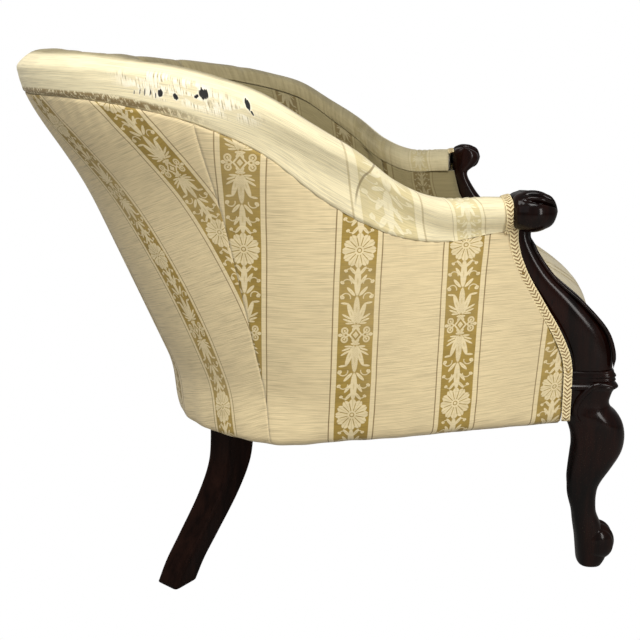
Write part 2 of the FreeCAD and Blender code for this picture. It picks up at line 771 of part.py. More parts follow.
def iron_top_rail():
    rows = []
    for station in stations(-last_station, last_station):
        crest, along, outward, up = wall_frame(station)
        centre = crest + outward * rod_in + up * rod_drop
        rows.append(ring(centre, outward, up, size("rod_radius"), 8))
    return largest_solid(solid_through(rows).cut(in_front_of_rear_edge))


keep("iron_top_rail", iron_top_rail())


def aligned(box, origin, along, outward, up):
    box.Placement = FreeCAD.Placement(origin, FreeCAD.Rotation(along, outward, up, "XYZ"))
    return box


def upright(station):
    """A flat bar from the outside of the seat rail up to the top rail."""
    crest, along, outward, up = wall_frame(station)
    outer = -size("bar_setback")
    foot_drop = drop_to(station, bar_end_height, size("bar_setback"))
    length = (rod_drop + size("rod_radius")) - foot_drop
    corner = (crest - along * (size("bar_width") / 2)
              + outward * (outer - size("bar_thickness")) + up * foot_drop)
    bar = aligned(Part.makeBox(size("bar_width"), size("bar_thickness"), length),
                  corner, along, outward, up)
    return bar.cut(bar_screws)


keep("iron_uprights", Part.makeCompound([upright(station) for station in upright_stations]))


hoop_share = 0.45


def hoop_drop(station):
    return drop_to(station, rail_top, 0) * hoop_share + rod_drop * (1 - hoop_share)


hoop_outer = -(size("bar_setback") + size("bar_thickness"))
iron_hoop = band(stations(-last_station, last_station), hoop_outer,
                 hoop_outer - size("hoop_thickness"),
                 lambda station: hoop_drop(station) + size("hoop_width") / 2,
                 lambda station: hoop_drop(station) - size("hoop_width") / 2)
iron_hoop = largest_solid(iron_hoop.cut(in_front_of_rear_edge))
keep("iron_hoop", iron_hoop)
keep("iron_rivets", Part.makeCompound(
    [rivet(station, hoop_drop(station)) for station in upright_stations]))

hessian_gap_share = 5
hessian_gap = hessian_gap_share * fit_gap
hessian_outer = -(size("pad_setback") - size("hessian_thickness") - hessian_gap)
back_hessian = band(stations(-last_station, last_station), hessian_outer,
                    hessian_outer - size("hessian_thickness"),
                    lambda station: rod_drop - size("rod_radius"),
                    lambda station: drop_to(station, rail_top + fit_gap, size("pad_setback")))
keep("back_hessian", largest_solid(back_hessian.cut(in_front_of_rear_edge)))


# The outside cover: a panel on each side and one round the back, sewn together at the rear corners.
def outside_panel(start, end):
    return band(stations(start, end), 0, -size("cover_thickness"),
                skirt_drop,
                lambda station: drop_to(station, wall_line(station)[0].z, 0), 1)


side_panel = outside_panel(back_seam_station, last_station).cut(in_front_of_rear_edge)
both_sides("outside_panel", largest_solid(side_panel))
keep("outside_back_panel", outside_panel(-back_seam_station, back_seam_station))


# The stuffed roll along the arms and over the back, with a padded skirt down its outer side.
# Shares of the roll's depth and width at its swell and at its inner shoulder.
roll_swell_share = 0.5
roll_shoulder_share = 0.86
roll_shoulder_drop_share = 0.3


def roll_row(station):
    depth = size("roll_depth")
    inside = size("roll_width_inside")
    top_in = size("roll_top_inside")
    foot_out = Vector(size("roll_skirt_swell"), -depth, 0)
    crown = Vector(-top_in, 0, 0)
    foot_in = Vector(-inside, -depth, 0)
    swell = Vector(size("roll_overhang"), -depth * roll_swell_share, 0)
    shoulder = Vector(-blended(top_in, inside, roll_shoulder_share),
                      -depth * roll_shoulder_drop_share, 0)
    skirt = [Vector(0, skirt_drop(station), 0)]
    skirt_inside = [Vector(-size("roll_skirt"), -depth, 0),
                    Vector(-size("roll_skirt"), skirt_drop(station), 0)]
    flat = (skirt + arc_points(foot_out, swell, crown, 5) + arc_points(crown, shoulder, foot_in, 4)
            + [foot_in] + skirt_inside)
    return [crest_point(station, point.x, point.y) for point in flat]


roll = solid_through([roll_row(station) for station in stations(-last_station, last_station)])
keep("arm_and_back_roll", largest_solid(roll.cut(in_front_of_rear_edge)))


# The inside stuffing: one deep buttoned pad round the back, and a plain pad inside each arm.
belly_share = 0.45
pad_foot = rail_top + size("spring_chamber_height") + size("hessian_thickness")


def pad_profile(station):
    """The inner face of the stuffing at a station: its top, its swollen middle and its foot, as
    distances outwards and up the wall from the crest."""
    depth = pad_depth(station)
    top_depth = min(size("roll_width_inside") - size("pad_setback"), depth)
    high = -size("roll_depth") - fit_gap
    low = drop_to(station, pad_foot, size("pad_setback")) - overrun
    inner_low = -(size("pad_setback") + depth)
    inner_high = -(size("pad_setback") + top_depth)
    belly = blended(inner_low, inner_high, belly_share) - size("pad_belly")
    return (inner_high, high), (belly, blended(low, high, 0.5)), (inner_low, low)


def pad_row(station):
    top, belly, foot = pad_profile(station)
    outer = -size("pad_setback")
    face = arc_points(*[Vector(across, rise, 0) for across, rise in (top, belly, foot)], 5)
    return ([crest_point(station, outer, foot[1]), crest_point(station, outer, top[1])]
            + [crest_point(station, point.x, point.y) for point in face]
            + [crest_point(station, *foot)])


below_pads = Part.makeBox(2 * size("tub_depth"), 2 * size("tub_depth"), pad_foot,
                          Vector(-size("tub_depth"), -size("tub_depth"), 0))


def inside_pad(start, end):
    pad = solid_through([pad_row(station) for station in stations(start, end)])
    return pad.cut(below_pads)


arm_pad = largest_solid(
    inside_pad(arm_seam_station, last_station).cut(in_front_of_rear_edge))
both_sides("inside_arm_pad", arm_pad)


def pad_face_point(station, height):
    """A point on the inner face of the stuffing at this height, and the wall's way out there."""
    crest, along, outward, up = wall_frame(station)
    arc = Part.Arc(*[Vector(across, rise, 0) for across, rise in pad_profile(station)])
    first, last = arc.FirstParameter, arc.LastParameter
    for halving in range(24):
        middle = (first + last) / 2
        flat = arc.value(middle)
        point = crest + outward * flat.x + up * flat.y
        if point.z > height:
            first = middle
        else:
            last = middle
    return point, outward


def row_stations(height, count, first_share):
    """Stations whose inner faces are evenly spaced by the button spacing, outwards from the middle."""
    found = []
    for side in (-1, 1):
        wanted = [size("button_spacing") * (first_share + step) for step in range(count)]
        travelled = 0
        station = 0
        step_size = 0.05
        previous, outward = pad_face_point(0, height)
        while wanted and station < arm_seam_station - step_size:
            if travelled >= wanted[0] - size("button_spacing") * 1e-9:
                found.append(side * station)
                wanted.pop(0)
            station = station + step_size
            point, outward = pad_face_point(station, height)
            travelled = travelled + (point - previous).Length
            previous = point
    return sorted(set(found))


lower_row = row_stations(size("lower_button_height"), 5, 0)
upper_row = row_stations(size("upper_button_height"), 3, 0.5)
button_places = ([pad_face_point(station, size("lower_button_height")) for station in lower_row]
                 + [pad_face_point(station, size("upper_button_height")) for station in upper_row])


throat_share = 0.7


def button_pit(place):
    """A four-sided tuft whose creases run up, down and to both sides of its button."""
    point, outward = place
    across = outward.cross(Vector(0, 0, 1)).normalize()
    upward = across.cross(outward)
    depth = size("button_pit_depth")
    mouth = 2 * size("button_pit_radius")
    throat = (size("button_radius") + fit_gap) * math.sqrt(2)
    ways = (across, upward, across * -1, upward * -1)
    rows = []
    for reach, inwards in ((mouth, -depth), (throat, depth * throat_share), (throat, depth)):
        rows.append([point + outward * inwards + way * reach for way in ways])
    return solid_through(rows)


# A covered button's profile, as shares of its radius and height.
button_profile_shares = ((1.0, 0.0), (1.0, 0.35), (0.72, 0.8), (0.3, 1.0))


def button(place):
    """A domed button, flat behind, seated on the bottom of its tuft."""
    point, outward = place
    seat = point + outward * (size("button_pit_depth") - fit_gap)
    profile = [(radius_share * size("button_radius"), height_share * size("button_height"))
               for radius_share, height_share in button_profile_shares]
    return turned(seat, outward * -1, profile, 10)


back_pad = inside_pad(-arm_seam_station, arm_seam_station)
for place in button_places:
    back_pad = back_pad.cut(button_pit(place))
keep("inside_back_pad", largest_solid(back_pad))
keep("back_buttons", Part.makeCompound([button(place) for place in button_places]))


# The seat in plan: arcs along the wall's stations, square ends by the arms and a bowed front.
def bowed_plan(back_points, half_length, reach, bow, height):
    """A level wire: the back follows the points given from left to right, the front is one arc."""
    left = Vector(-half_length, -reach, height)
    right = Vector(half_length, -reach, height)
    front = Part.Arc(right, Vector(0, -reach - bow, height), left).toShape()
    runs = [line(start, end) for start, end in zip(back_points, back_points[1:])]
    return Part.Wire(runs + [line(back_points[-1], right), front, line(left, back_points[0])])


def frame_plan(inset, half_length, reach, bow, height, end_station):
    """The seat frame's plan, in from the outside cover by inset."""
    points = [plan_point(station, inset, height)
              for station in stations(-end_station, end_station)]
    return bowed_plan(points, half_length, reach, bow, height)


# Hessian over the springs: a shallow lid standing on the rails.
chamber_top = rail_top + size("spring_chamber_height")
chamber_edge_share = 0.7
chamber_inset = size("rail_setback") + size("rail_thickness") * chamber_edge_share
chamber_reach = front_rail_reach - size("front_rail_thickness") * chamber_edge_share
chamber_length = leg_inner_face - size("front_rail_thickness") / 2


def chamber(shrink, top):
    wire = frame_plan(chamber_inset + shrink, chamber_length - shrink, chamber_reach - shrink,
                      size("seat_front_bow"), rail_top, arm_seam_station)
    return slab(wire, top - rail_top)


spring_room = chamber(0, chamber_top).cut(legs_all)
hessian_room = chamber(size("hessian_thickness"), chamber_top - size("hessian_thickness"))
keep("seat_hessian", largest_solid(spring_room.cut(hessian_room)))

# The seat stuffing. Each row is a share of the seat's height above the rails, and the shares of the
# crown's inset and of the front's rounding that are reached there.
seat_row_shares = ((0.003, 0.00, 0.000), (0.15, 0.00, 0.000), (0.49, 0.00, 0.086),
                   (0.75, 0.05, 0.215), (0.917, 0.25, 0.417), (1.00, 1.00, 1.000))
seat_end_station = last_station
seat_gap_share = 3
seat_gap = seat_gap_share * fit_gap


def seat_row(height, inset, drawn_back):
    """The seat's plan at this height, drawn in all round and further at the front."""
    points = []
    for station in stations(-seat_end_station, seat_end_station):
        face, outward = pad_face_point(station, max(height, pad_foot))
        inward = Vector(-outward.x, -outward.y, 0).normalize()
        point = face + inward * seat_gap
        points.append(point)
    half_length = facing_inner_face - seat_gap
    reach = seat_front_reach
    back = max(point.y for point in points)
    across_share = (half_length - inset) / half_length
    deep_share = (back - inset + reach - drawn_back) / (back + reach)

    def drawn(point):
        return Vector(point.x * across_share,
                      back - inset + (point.y - back) * deep_share, height)

    left = drawn(Vector(-half_length, size("seat_front_bow") - reach, 0))
    right = drawn(Vector(half_length, size("seat_front_bow") - reach, 0))
    middle = drawn(Vector(0, -reach, 0))
    front = arc_points(right, middle, left, 8)
    return [left] + [drawn(point) for point in points] + front


seat_rise = size("seat_top") - rail_top
seat_pad = solid_through([seat_row(rail_top + height_share * seat_rise,
                                   inset_share * size("seat_crown_inset"),
                                   front_share * size("seat_front_round"))
                          for height_share, inset_share, front_share in seat_row_shares])
seat_pad = largest_solid(seat_pad.cut(spring_room).cut(legs_all))
keep("seat_pad", seat_pad)

# The padded border that covers the front rail.
border_row_shares = ((-0.04, 0.35), (0.45, 0.9), (0.997, 1.0))
border_wires = []
for height_share, depth_share in border_row_shares:
    height = size("frame_underside") + height_share * size("rail_height")
    depth = depth_share * size("border_depth")
    corners = [(Vector(corner.x, corner.y, height),
                Vector(middle.x, middle.y, height) if middle else None)
               for corner, middle in front_rail_outline(
                   size("seat_front_bow"), front_rail_reach + depth,
                   leg_inner_face - fit_gap, depth - fit_gap)]
    border_wires.append(wire_of(corners))
keep("seat_front_border", largest_solid(loft_of(border_wires).cut(legs_all)))

# Webbing under the rails: strips from front to back, and strips across below them.
frame_end_station = last_station - 1
web_reach = front_rail_reach - size("webbing_thickness")
web_floor = size("frame_underside") - 2 * size("webbing_thickness")
web_plan = frame_plan(size("rail_setback") + size("webbing_thickness"),
                      leg_inner_face, web_reach, size("seat_front_bow"),
                      web_floor, frame_end_station)
web_clip = slab(web_plan, 2 * size("webbing_thickness")).cut(legs_all)
web_pitch = size("webbing_pitch")


def strips(count, across, top):
    """Parallel strips, centred on the frame, cut to its plan."""
    long_way = 2 * size("tub_half_width")
    wide_way = size("webbing_width")
    found = []
    for index in range(count):
        middle = (index - (count - 1) / 2) * web_pitch
        if across:
            middle = middle + frame_middle
            box = Part.makeBox(long_way, wide_way, size("webbing_thickness"),
                               Vector(-long_way / 2, middle - wide_way / 2,
                                      top - size("webbing_thickness")))
        else:
            box = Part.makeBox(wide_way, long_way, size("webbing_thickness"),
                               Vector(middle - wide_way / 2, -long_way / 2,
                                      top - size("webbing_thickness")))
        found.extend(box.common(web_clip).Solids)
    return Part.makeCompound(found)


frame_middle = (plan_point(0, 0, 0).y - front_rail_reach) / 2
keep("seat_webbing_lengthwise", strips(9, False, size("frame_underside")))
keep("seat_webbing_across", strips(6, True, size("frame_underside") - size("webbing_thickness")))

# The dust cloth, tacked up under the webbing.
cloth_top = size("frame_underside") - 2 * size("webbing_thickness")
cloth_plan = frame_plan(size("cloth_inset"), leg_inner_face, web_reach,
                        size("seat_front_bow"), cloth_top - size("cloth_thickness"),
                        frame_end_station)
keep("underside_cloth", largest_solid(slab(cloth_plan, size("cloth_thickness")).cut(legs_all)))

# Seat springs: waisted coils that stand on the webbing, and the cords that tie them down.
spring_floor = size("frame_underside") + fit_gap
lashing_rise = 4 * size("lashing_radius") + fit_gap
spring_ceiling = chamber_top - size("hessian_thickness") - lashing_rise
spring_turn_count = 3
steps_each_turn_count = 8
spring_columns = (-1.5, -0.5, 0.5, 1.5)
spring_rows = (-1, 0, 1)
spring_column_pitch = size("spring_column_pitch")
spring_row_pitch = size("spring_row_pitch")


def spring(middle):
    rows = []
    wire_radius = size("spring_wire_radius")
    rise = spring_ceiling - spring_floor - 2 * wire_radius
    steps = spring_turn_count * steps_each_turn_count
    for step in range(steps + 1):
        share = step / steps
        angle = 2 * math.pi * step / steps_each_turn_count
        flare = (2 * share - 1) ** 2
        radius = blended(size("spring_waist_radius"), size("spring_end_radius"), flare)
        radial = Vector(math.cos(angle), math.sin(angle), 0)
        centre = middle + radial * radius
        centre.z = spring_floor + wire_radius + rise * share
        up = Vector(0, 0, wire_radius)
        out = radial * wire_radius
        rows.append([centre + out, centre + up, centre - out, centre - up])
    return solid_through(rows)


spring_middles = [Vector(column * spring_column_pitch, frame_middle + row * spring_row_pitch, 0)
                  for column in spring_columns for row in spring_rows]
keep("seat_springs", Part.makeCompound([spring(middle) for middle in spring_middles]))

lashing_room = hessian_room.cut(legs_all)
cord_radius = size("lashing_radius")
long_way = 2 * size("tub_half_width")
cords = []
for row in spring_rows:
    start = Vector(-long_way / 2, frame_middle + row * spring_row_pitch,
                   spring_ceiling + fit_gap / 2 + cord_radius)
    cords.append(turned(start, Vector(1, 0, 0), ((cord_radius, 0), (cord_radius, long_way))))
for column in spring_columns:
    start = Vector(column * spring_column_pitch, -long_way / 2,
                   spring_ceiling + fit_gap / 2 + 3 * cord_radius)
    cords.append(turned(start, Vector(0, 1, 0), ((cord_radius, 0), (cord_radius, long_way))))
keep("spring_lashing", Part.makeCompound(
    [cord for piece in cords for cord in piece.common(lashing_room).Solids]))

# Braid over the cover's edge along the facing, and the pins that hold it.
outer_face = facing_inner_face + size("facing_thickness")
gimp_rear_shares = facing_rear_shares[2:]


def gimp_right():
    rear = [facing_point(shares) + Vector(outer_face, 0, 0) for shares in gimp_rear_shares]
    ahead = Vector(0, -size("gimp_width"), 0)
    front = [point + ahead for point in reversed(rear)]
    edges = [spline_through(rear).toShape(), line(rear[-1], front[0]),
             spline_through(front).toShape(), line(front[-1], rear[0])]
    return Part.Face(Part.Wire(edges)).extrude(Vector(size("gimp_thickness"), 0, 0))


def gimp_pins_right():
    found = []
    middle = Vector(outer_face + size("gimp_thickness"), -size("gimp_width") / 2, 0)
    for shares in gimp_rear_shares[1::2]:
        found.append(turned(facing_point(shares) + middle, Vector(1, 0, 0),
                            ((size("pin_radius"), 0), (size("pin_radius"), size("pin_height")))))
    return found


both_sides("gimp", gimp_right())
pins = gimp_pins_right()
keep("gimp_pins", Part.makeCompound(pins + [mirrored(pin) for pin in pins]))

document.recompute()
os.makedirs("parts", exist_ok=True)
for name, piece in nodes.items():
    shape = piece.Shape
    if "Invalid" in piece.State or "Error" in piece.State or shape.isNull() or not shape.isValid():
        raise RuntimeError("%s did not build: %s" % (name, piece.State))
for name, piece in nodes.items():
    piece.Shape.exportStep("parts/%s.step" % name)
    print(name, len(piece.Shape.Solids), round(piece.Shape.Volume / 1000.0, 1))
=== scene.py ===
import math
import bmesh
import bpy
from mathutils import Matrix, Vector


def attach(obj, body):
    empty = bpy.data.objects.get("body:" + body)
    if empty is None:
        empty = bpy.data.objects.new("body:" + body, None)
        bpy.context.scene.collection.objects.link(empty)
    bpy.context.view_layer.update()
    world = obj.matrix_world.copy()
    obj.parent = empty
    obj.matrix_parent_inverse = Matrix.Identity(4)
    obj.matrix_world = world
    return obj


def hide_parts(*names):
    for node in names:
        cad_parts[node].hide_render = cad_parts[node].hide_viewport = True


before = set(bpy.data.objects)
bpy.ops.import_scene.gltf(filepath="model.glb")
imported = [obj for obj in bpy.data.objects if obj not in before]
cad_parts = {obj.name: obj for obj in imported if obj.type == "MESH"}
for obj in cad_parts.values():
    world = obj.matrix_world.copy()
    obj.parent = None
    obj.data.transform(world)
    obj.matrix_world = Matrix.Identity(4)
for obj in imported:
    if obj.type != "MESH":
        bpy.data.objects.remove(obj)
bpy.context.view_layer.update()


# The camera stands at the settee's left side, a little above the arm, and looks level with the
# seat front to its right. Its shift only keeps the photograph's framing.
camera_data = bpy.data.cameras.new("camera")
camera_data.sensor_width = 36
camera_data.lens = 50.625
camera_data.shift_x = -0.06875
camera = bpy.data.objects.new("camera", camera_data)
camera.location = (-1.72, -0.0705, 0.76)
camera.rotation_euler = (math.radians(74.77), 0, math.radians(-90))
bpy.context.scene.collection.objects.link(camera)
bpy.context.scene.camera = camera
bpy.context.scene.view_settings.view_transform = "Standard"


# The studio: a plain pale floor and backdrop that the camera sees as white, and four soft lights:
# one high on the camera's side, one over the back, one low behind, and a strip before the facing.
def material_of(name):
    """A new material with its node tree and its shader."""
    material = bpy.data.materials.new(name)
    material.use_nodes = True
    shader = material.node_tree.nodes["Principled BSDF"]
    return material, material.node_tree, shader


def white_to_camera(tree, plain, white, output):
    """The camera sees the white; every other ray meets the plain shader."""
    seen = tree.nodes.new("ShaderNodeLightPath")
    mix = tree.nodes.new("ShaderNodeMixShader")
    tree.links.new(seen.outputs["Is Camera Ray"], mix.inputs[0])
    tree.links.new(plain.outputs[0], mix.inputs[1])
    tree.links.new(white.outputs[0], mix.inputs[2])
    tree.links.new(mix.outputs[0], tree.nodes[output].inputs["Surface"])


def placed(name, data):
    """A new object in the scene."""
    thing = bpy.data.objects.new(name, data)
    bpy.context.scene.collection.objects.link(thing)
    return thing


world = bpy.data.worlds.new("studio")
bpy.context.scene.world = world
world.use_nodes = True
world_tree = world.node_tree
sky = world_tree.nodes["Background"]
sky.inputs["Color"].default_value = (1, 0.99, 0.975, 1)
sky.inputs["Strength"].default_value = 0.31
white_sky = world_tree.nodes.new("ShaderNodeBackground")
white_sky.inputs["Color"].default_value = (1, 1, 1, 1)
white_sky.inputs["Strength"].default_value = 1
white_to_camera(world_tree, sky, white_sky, "World Output")

floor_material, floor_tree, floor_shader = material_of("pale_floor")
floor_shader.inputs["Base Color"].default_value = (0.46, 0.45, 0.43, 1)
floor_shader.inputs["Roughness"].default_value = 0.8
floor_white = floor_tree.nodes.new("ShaderNodeEmission")
white_to_camera(floor_tree, floor_shader, floor_white, "Material Output")

floor_work = bmesh.new()
bmesh.ops.create_grid(floor_work, x_segments=1, y_segments=1, size=6)
floor_mesh = bpy.data.meshes.new("floor")
floor_work.to_mesh(floor_mesh)
floor_work.free()
floor_mesh.materials.append(floor_material)
floor = placed("floor", floor_mesh)
floor.location.z = -0.0005


def soft_light(name, place, aim, width, height, power, colour):
    """A rectangular studio light that faces the point it is aimed at."""
    data = bpy.data.lights.new(name, "AREA")
    data.shape = "RECTANGLE"
    data.size = width
    data.size_y = height
    data.energy = power
    data.color = colour
    light = placed(name, data)
    light.location = place
    light.rotation_euler = (Vector(aim) - Vector(place)).to_track_quat("-Z", "Y").to_euler()


soft_light("key_light", (-1.9, -0.4, 2.5), (-0.2, 0, 0.5), 1.1, 1.1, 44, (1, 0.985, 0.96))
soft_light("top_light", (-1.0, 1.0, 2.3), (-0.3, 0.4, 0.8), 0.9, 0.9, 19, (1, 0.99, 0.97))
soft_light("fill_light", (-2.6, 1.1, 1.4), (0, 0.1, 0.4), 1.6, 1.6, 3.5, (0.88, 0.94, 1))
soft_light("strip_light", (-2.15, -1.35, 0.75), (-0.44, -0.38, 0.45), 0.28, 1.0, 11, (1, 0.98, 0.95))


# The seat frame: four beech rails with glued corner blocks and dowels. The wood is pale, flecked and
# planed, and its grain runs along the rails. Its pattern is written as a sum of fields: a field is
# a number, a colour or a place that the nodes work out on the surface.
class Field:
    def __init__(self, tree, socket):
        self.tree = tree
        self.socket = socket

    def math(self, operation, *others):
        return worked_out(self.tree, "ShaderNodeMath", 0, dict(enumerate((self,) + others)),
                          operation=operation)

    def __add__(self, other):
        return self.math("ADD", other)

    def __sub__(self, other):
        return self.math("SUBTRACT", other)

    def __mul__(self, other):
        return self.math("MULTIPLY", other)

    def __truediv__(self, other):
        return self.math("DIVIDE", other)

    def size(self):
        return self.math("ABSOLUTE")

    def least(self, other):
        return self.math("MINIMUM", other)

    def most(self, other):
        return self.math("MAXIMUM", other)

    def step(self, low, high, to_low=0, to_high=1):
        """A smooth step: to_low below low, to_high above high."""
        return worked_out(self.tree, "ShaderNodeMapRange", "Result",
                          {"Value": self, "From Min": low, "From Max": high, "To Min": to_low,
                           "To Max": to_high}, interpolation_type="SMOOTHSTEP")

    def inside(self, edge, soft):
        """One where the field is under the edge, none above it."""
        return self.step(edge - soft, edge + soft, 1, 0)


def worked_out(tree, kind, output, inputs, **settings):
    """The output of a new node. Its inputs are numbers, colours or fields."""
    node = tree.nodes.new(kind)
    for setting, value in settings.items():
        setattr(node, setting, value)
    for key, value in inputs.items():
        if isinstance(value, Field):
            tree.links.new(value.socket, node.inputs[key])
        else:
            node.inputs[key].default_value = value
    return Field(tree, node.outputs[output])


def noise(place, scale, detail=2, roughness=0.5):
    """Noise stretched by a scale for each direction."""
    stretched = worked_out(place.tree, "ShaderNodeMapping", 0, {"Vector": place, "Scale": scale})
    return worked_out(place.tree, "ShaderNodeTexNoise", "Fac",
                      {"Vector": stretched, "Scale": 1, "Detail": detail, "Roughness": roughness})


def coloured(share, low, high):
    """A colour between two others, which may be colours or fields that hold one."""
    low, high = (value if isinstance(value, Field) else (*value, 1) for value in (low, high))
    return worked_out(share.tree, "ShaderNodeMix", 2, {"Factor": share, 6: low, 7: high},
                      data_type="RGBA")


def scaled(parts, share):
    """Each part of a colour or a scale, times the share."""
    return tuple(share * part for part in parts)


def coordinates(tree, output):
    return worked_out(tree, "ShaderNodeTexCoord", output, {})


def raised(tree, shader, height, distance, strength=1):
    """The field as a relief on the surface, in metres."""
    relief = worked_out(tree, "ShaderNodeBump", 0,
                        {"Strength": strength, "Distance": distance, "Height": height})
    tree.links.new(relief.socket, shader.inputs["Normal"])


def finished(tree, shader, colour, roughness, metallic=0):
    """The shader's colour, a field, with its roughness and metal as numbers."""
    tree.links.new(colour.socket, shader.inputs["Base Color"])
    shader.inputs["Roughness"].default_value = roughness
    shader.inputs["Metallic"].default_value = metallic


def repaint(material, *node_names):
    for node_name in node_names:
        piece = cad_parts[node_name]
        if not piece.material_slots:
            piece.data.materials.append(material)
        for slot in piece.material_slots:
            slot.material = material


def plain_wood(name, dark, light, along):
    material, tree, shader = material_of(name)
    place = coordinates(tree, "Object")
    grain = noise(place, along, 4, 0.6)
    fleck = noise(place, scaled(along, 4), 2, 0.5)
    mixed = (grain * 0.7 + fleck * 0.3).step(0.3, 0.7)
    finished(tree, shader, coloured(mixed, dark, light), 0.62)
    raised(tree, shader, mixed, 0.0003, 0.4)
    return material


beech_across = plain_wood("beech_across", (0.36, 0.21, 0.10), (0.58, 0.38, 0.21), (8, 90, 90))
beech_deep = plain_wood("beech_deep", (0.36, 0.21, 0.10), (0.58, 0.38, 0.21), (90, 8, 90))
repaint(beech_across, "front_seat_rail", "rear_seat_rail", "leg_dowels", "corner_blocks")
repaint(beech_deep, "side_seat_rail_right", "side_seat_rail_left", "facing_dowels")


def spotted_metal(name, clean, spot, pitch, detail, low, high, roughness, metallic):
    """A metal with spots of tarnish, which begin where the noise passes from low to high."""
    material, tree, shader = material_of(name)
    spots = noise(coordinates(tree, "Object"), (pitch, pitch, pitch), detail).step(low, high)
    finished(tree, shader, coloured(spots, clean, spot), roughness, metallic)
    return material


screw_steel = spotted_metal("screw_steel", (0.30, 0.27, 0.24), (0.12, 0.07, 0.04),
                            160, 3, 0.35, 0.7, 0.42, 0.85)
repaint(screw_steel, "corner_block_screws", "iron_foot_screws")


# The iron back: a round top rail, flat uprights and a hoop, riveted together. The bars are black
# from the forge, with a little rust.
iron, iron_tree, iron_shader = material_of("forged_iron")
iron_place = coordinates(iron_tree, "Object")
iron_scale = noise(iron_place, (70, 70, 70), 4, 0.65)
iron_rust = noise(iron_place, (22, 22, 22), 3).step(0.55, 0.72)
iron_colour = coloured(iron_rust, coloured(iron_scale, (0.020, 0.019, 0.018), (0.065, 0.058, 0.052)),
                       (0.13, 0.055, 0.025))
iron_tree.links.new(iron_colour.socket, iron_shader.inputs["Base Color"])
iron_shader.inputs["Metallic"].default_value = 0.6
iron_tree.links.new(iron_scale.step(0.3, 0.8, 0.5, 0.8).socket, iron_shader.inputs["Roughness"])
raised(iron_tree, iron_shader, iron_scale, 0.0004, 0.6)
repaint(iron, "iron_top_rail", "iron_uprights", "iron_hoop", "iron_rivets")


# Hessian: one sheet laced inside the iron back, under the stuffing. It follows the tub's wall, whose
# rows run from the middle of the back to the arm facing: bottom edge and crest, right side.
tub_reach = Vector((0.512, 0.950, 0.790))
wall_rows = (
    ((0.000, 0.256, 0.300), (0.000, 0.495, 0.999)),
    ((0.255, 0.253, 0.300), (0.274, 0.492, 1.000)),
    ((0.489, 0.241, 0.299), (0.528, 0.478, 0.999)),
    ((0.676, 0.215, 0.297), (0.743, 0.435, 0.997)),
    ((0.793, 0.174, 0.296), (0.870, 0.363, 0.994)),
    ((0.874, 0.122, 0.298), (0.947, 0.270, 0.986)),
    ((0.934, 0.064, 0.301), (0.987, 0.168, 0.968)),
    ((0.971, 0.003, 0.306), (1.000, 0.082, 0.939)),
    ((0.989, -0.064, 0.313), (0.983, 0.003, 0.887)),
    ((0.988, -0.136, 0.320), (0.950, -0.066, 0.837)),
    ((0.967, -0.209, 0.325), (0.910, -0.124, 0.785)),
    ((0.935, -0.282, 0.325), (0.883, -0.187, 0.753)),
    ((0.887, -0.361, 0.320), (0.865, -0.262, 0.751)),
    ((0.844, -0.430, 0.316), (0.855, -0.336, 0.747)),
)


def blended(low, high, share):
    return low + (high - low) * share


def through(before, start, end, after, share):
    """A smooth curve's point between start and end."""
    return 0.5 * (2 * start + (end - before) * share
                  + (2 * before - 5 * start + 4 * end - after) * share ** 2
                  + (3 * start - before - 3 * end + after) * share ** 3)


def wall_row(index, end):
    if abs(index) >= len(wall_rows):
        last = len(wall_rows) - 1
        side = 1 if index > 0 else -1
        return 2 * wall_row(side * last, end) - wall_row(side * (last - 1), end)
    row = Vector(wall_rows[abs(index)][end]) * tub_reach
    if index < 0:
        row.x = -row.x
    return row


def wall_line(station):
    """Bottom edge and crest of the wall at a station. Left stations are negative."""
    first = math.floor(station)
    return [through(*(wall_row(first + step, end) for step in (-1, 0, 1, 2)), station - first)
            for end in (0, 1)]


wall_frames = {}


def wall_frame(station):
    """The crest, and the directions outwards and up the wall."""
    key = round(station, 4)
    if key not in wall_frames:
        before = wall_line(station - 0.5)
        after = wall_line(station + 0.5)
        bottom, crest = wall_line(station)
        up = (crest - bottom).normalized()
        outward = up.cross(after[0] - before[0] + after[1] - before[1]).normalized()
        wall_frames[key] = crest, outward, up
    return wall_frames[key]


def wall_point(station, outwards, upwards):
    crest, outward, up = wall_frame(station)
    return crest + outward * outwards + up * upwards


def wall_drop(station, height, inset=0):
    """How far up the wall from its crest this height is; below the crest it is negative."""
    crest, outward, up = wall_frame(station)
    return (height - crest.z + outward.z * inset) / up.z


def shaped(name, across, along, place, material, cloth=None, closed=False, capped=False,
           worn=None):
    """A grid of quads moved into shape. place gives a point for two shares from 0 to 1."""
    work = bmesh.new()
    bmesh.ops.create_grid(work, x_segments=across, y_segments=along, size=0.5)
    shares = {vertex: (round(vertex.co.x + 0.5, 6), round(vertex.co.y + 0.5, 6))
              for vertex in work.verts}
    for layer_name, unrolled in (("cloth", cloth), ("worn", worn)):
        if unrolled:
            layer = work.loops.layers.uv.new(layer_name)
            for face in work.faces:
                for loop in face.loops:
                    loop[layer].uv = unrolled(*shares[loop.vert])
    for vertex, (u, v) in shares.items():
        vertex.co = place(u, v)
    if closed:
        bmesh.ops.remove_doubles(work, verts=work.verts, dist=0.00002)
    if capped:
        bmesh.ops.holes_fill(work, edges=[edge for edge in work.edges if edge.is_boundary])
    bmesh.ops.recalc_face_normals(work, faces=work.faces)
    return added(name, work, material)


def added(name, work, material):
    """The worked mesh as a smooth piece of the settee."""
    mesh = bpy.data.meshes.new(name)
    work.to_mesh(mesh)
    work.free()
    mesh.materials.append(material)
    mesh.shade_smooth()
    piece = placed(name, mesh)
    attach(piece, "root")
    return piece


def thickened(piece, thickness):
    shell = piece.modifiers.new("thickness", "SOLIDIFY")
    shell.thickness = thickness
    shell.offset = 0


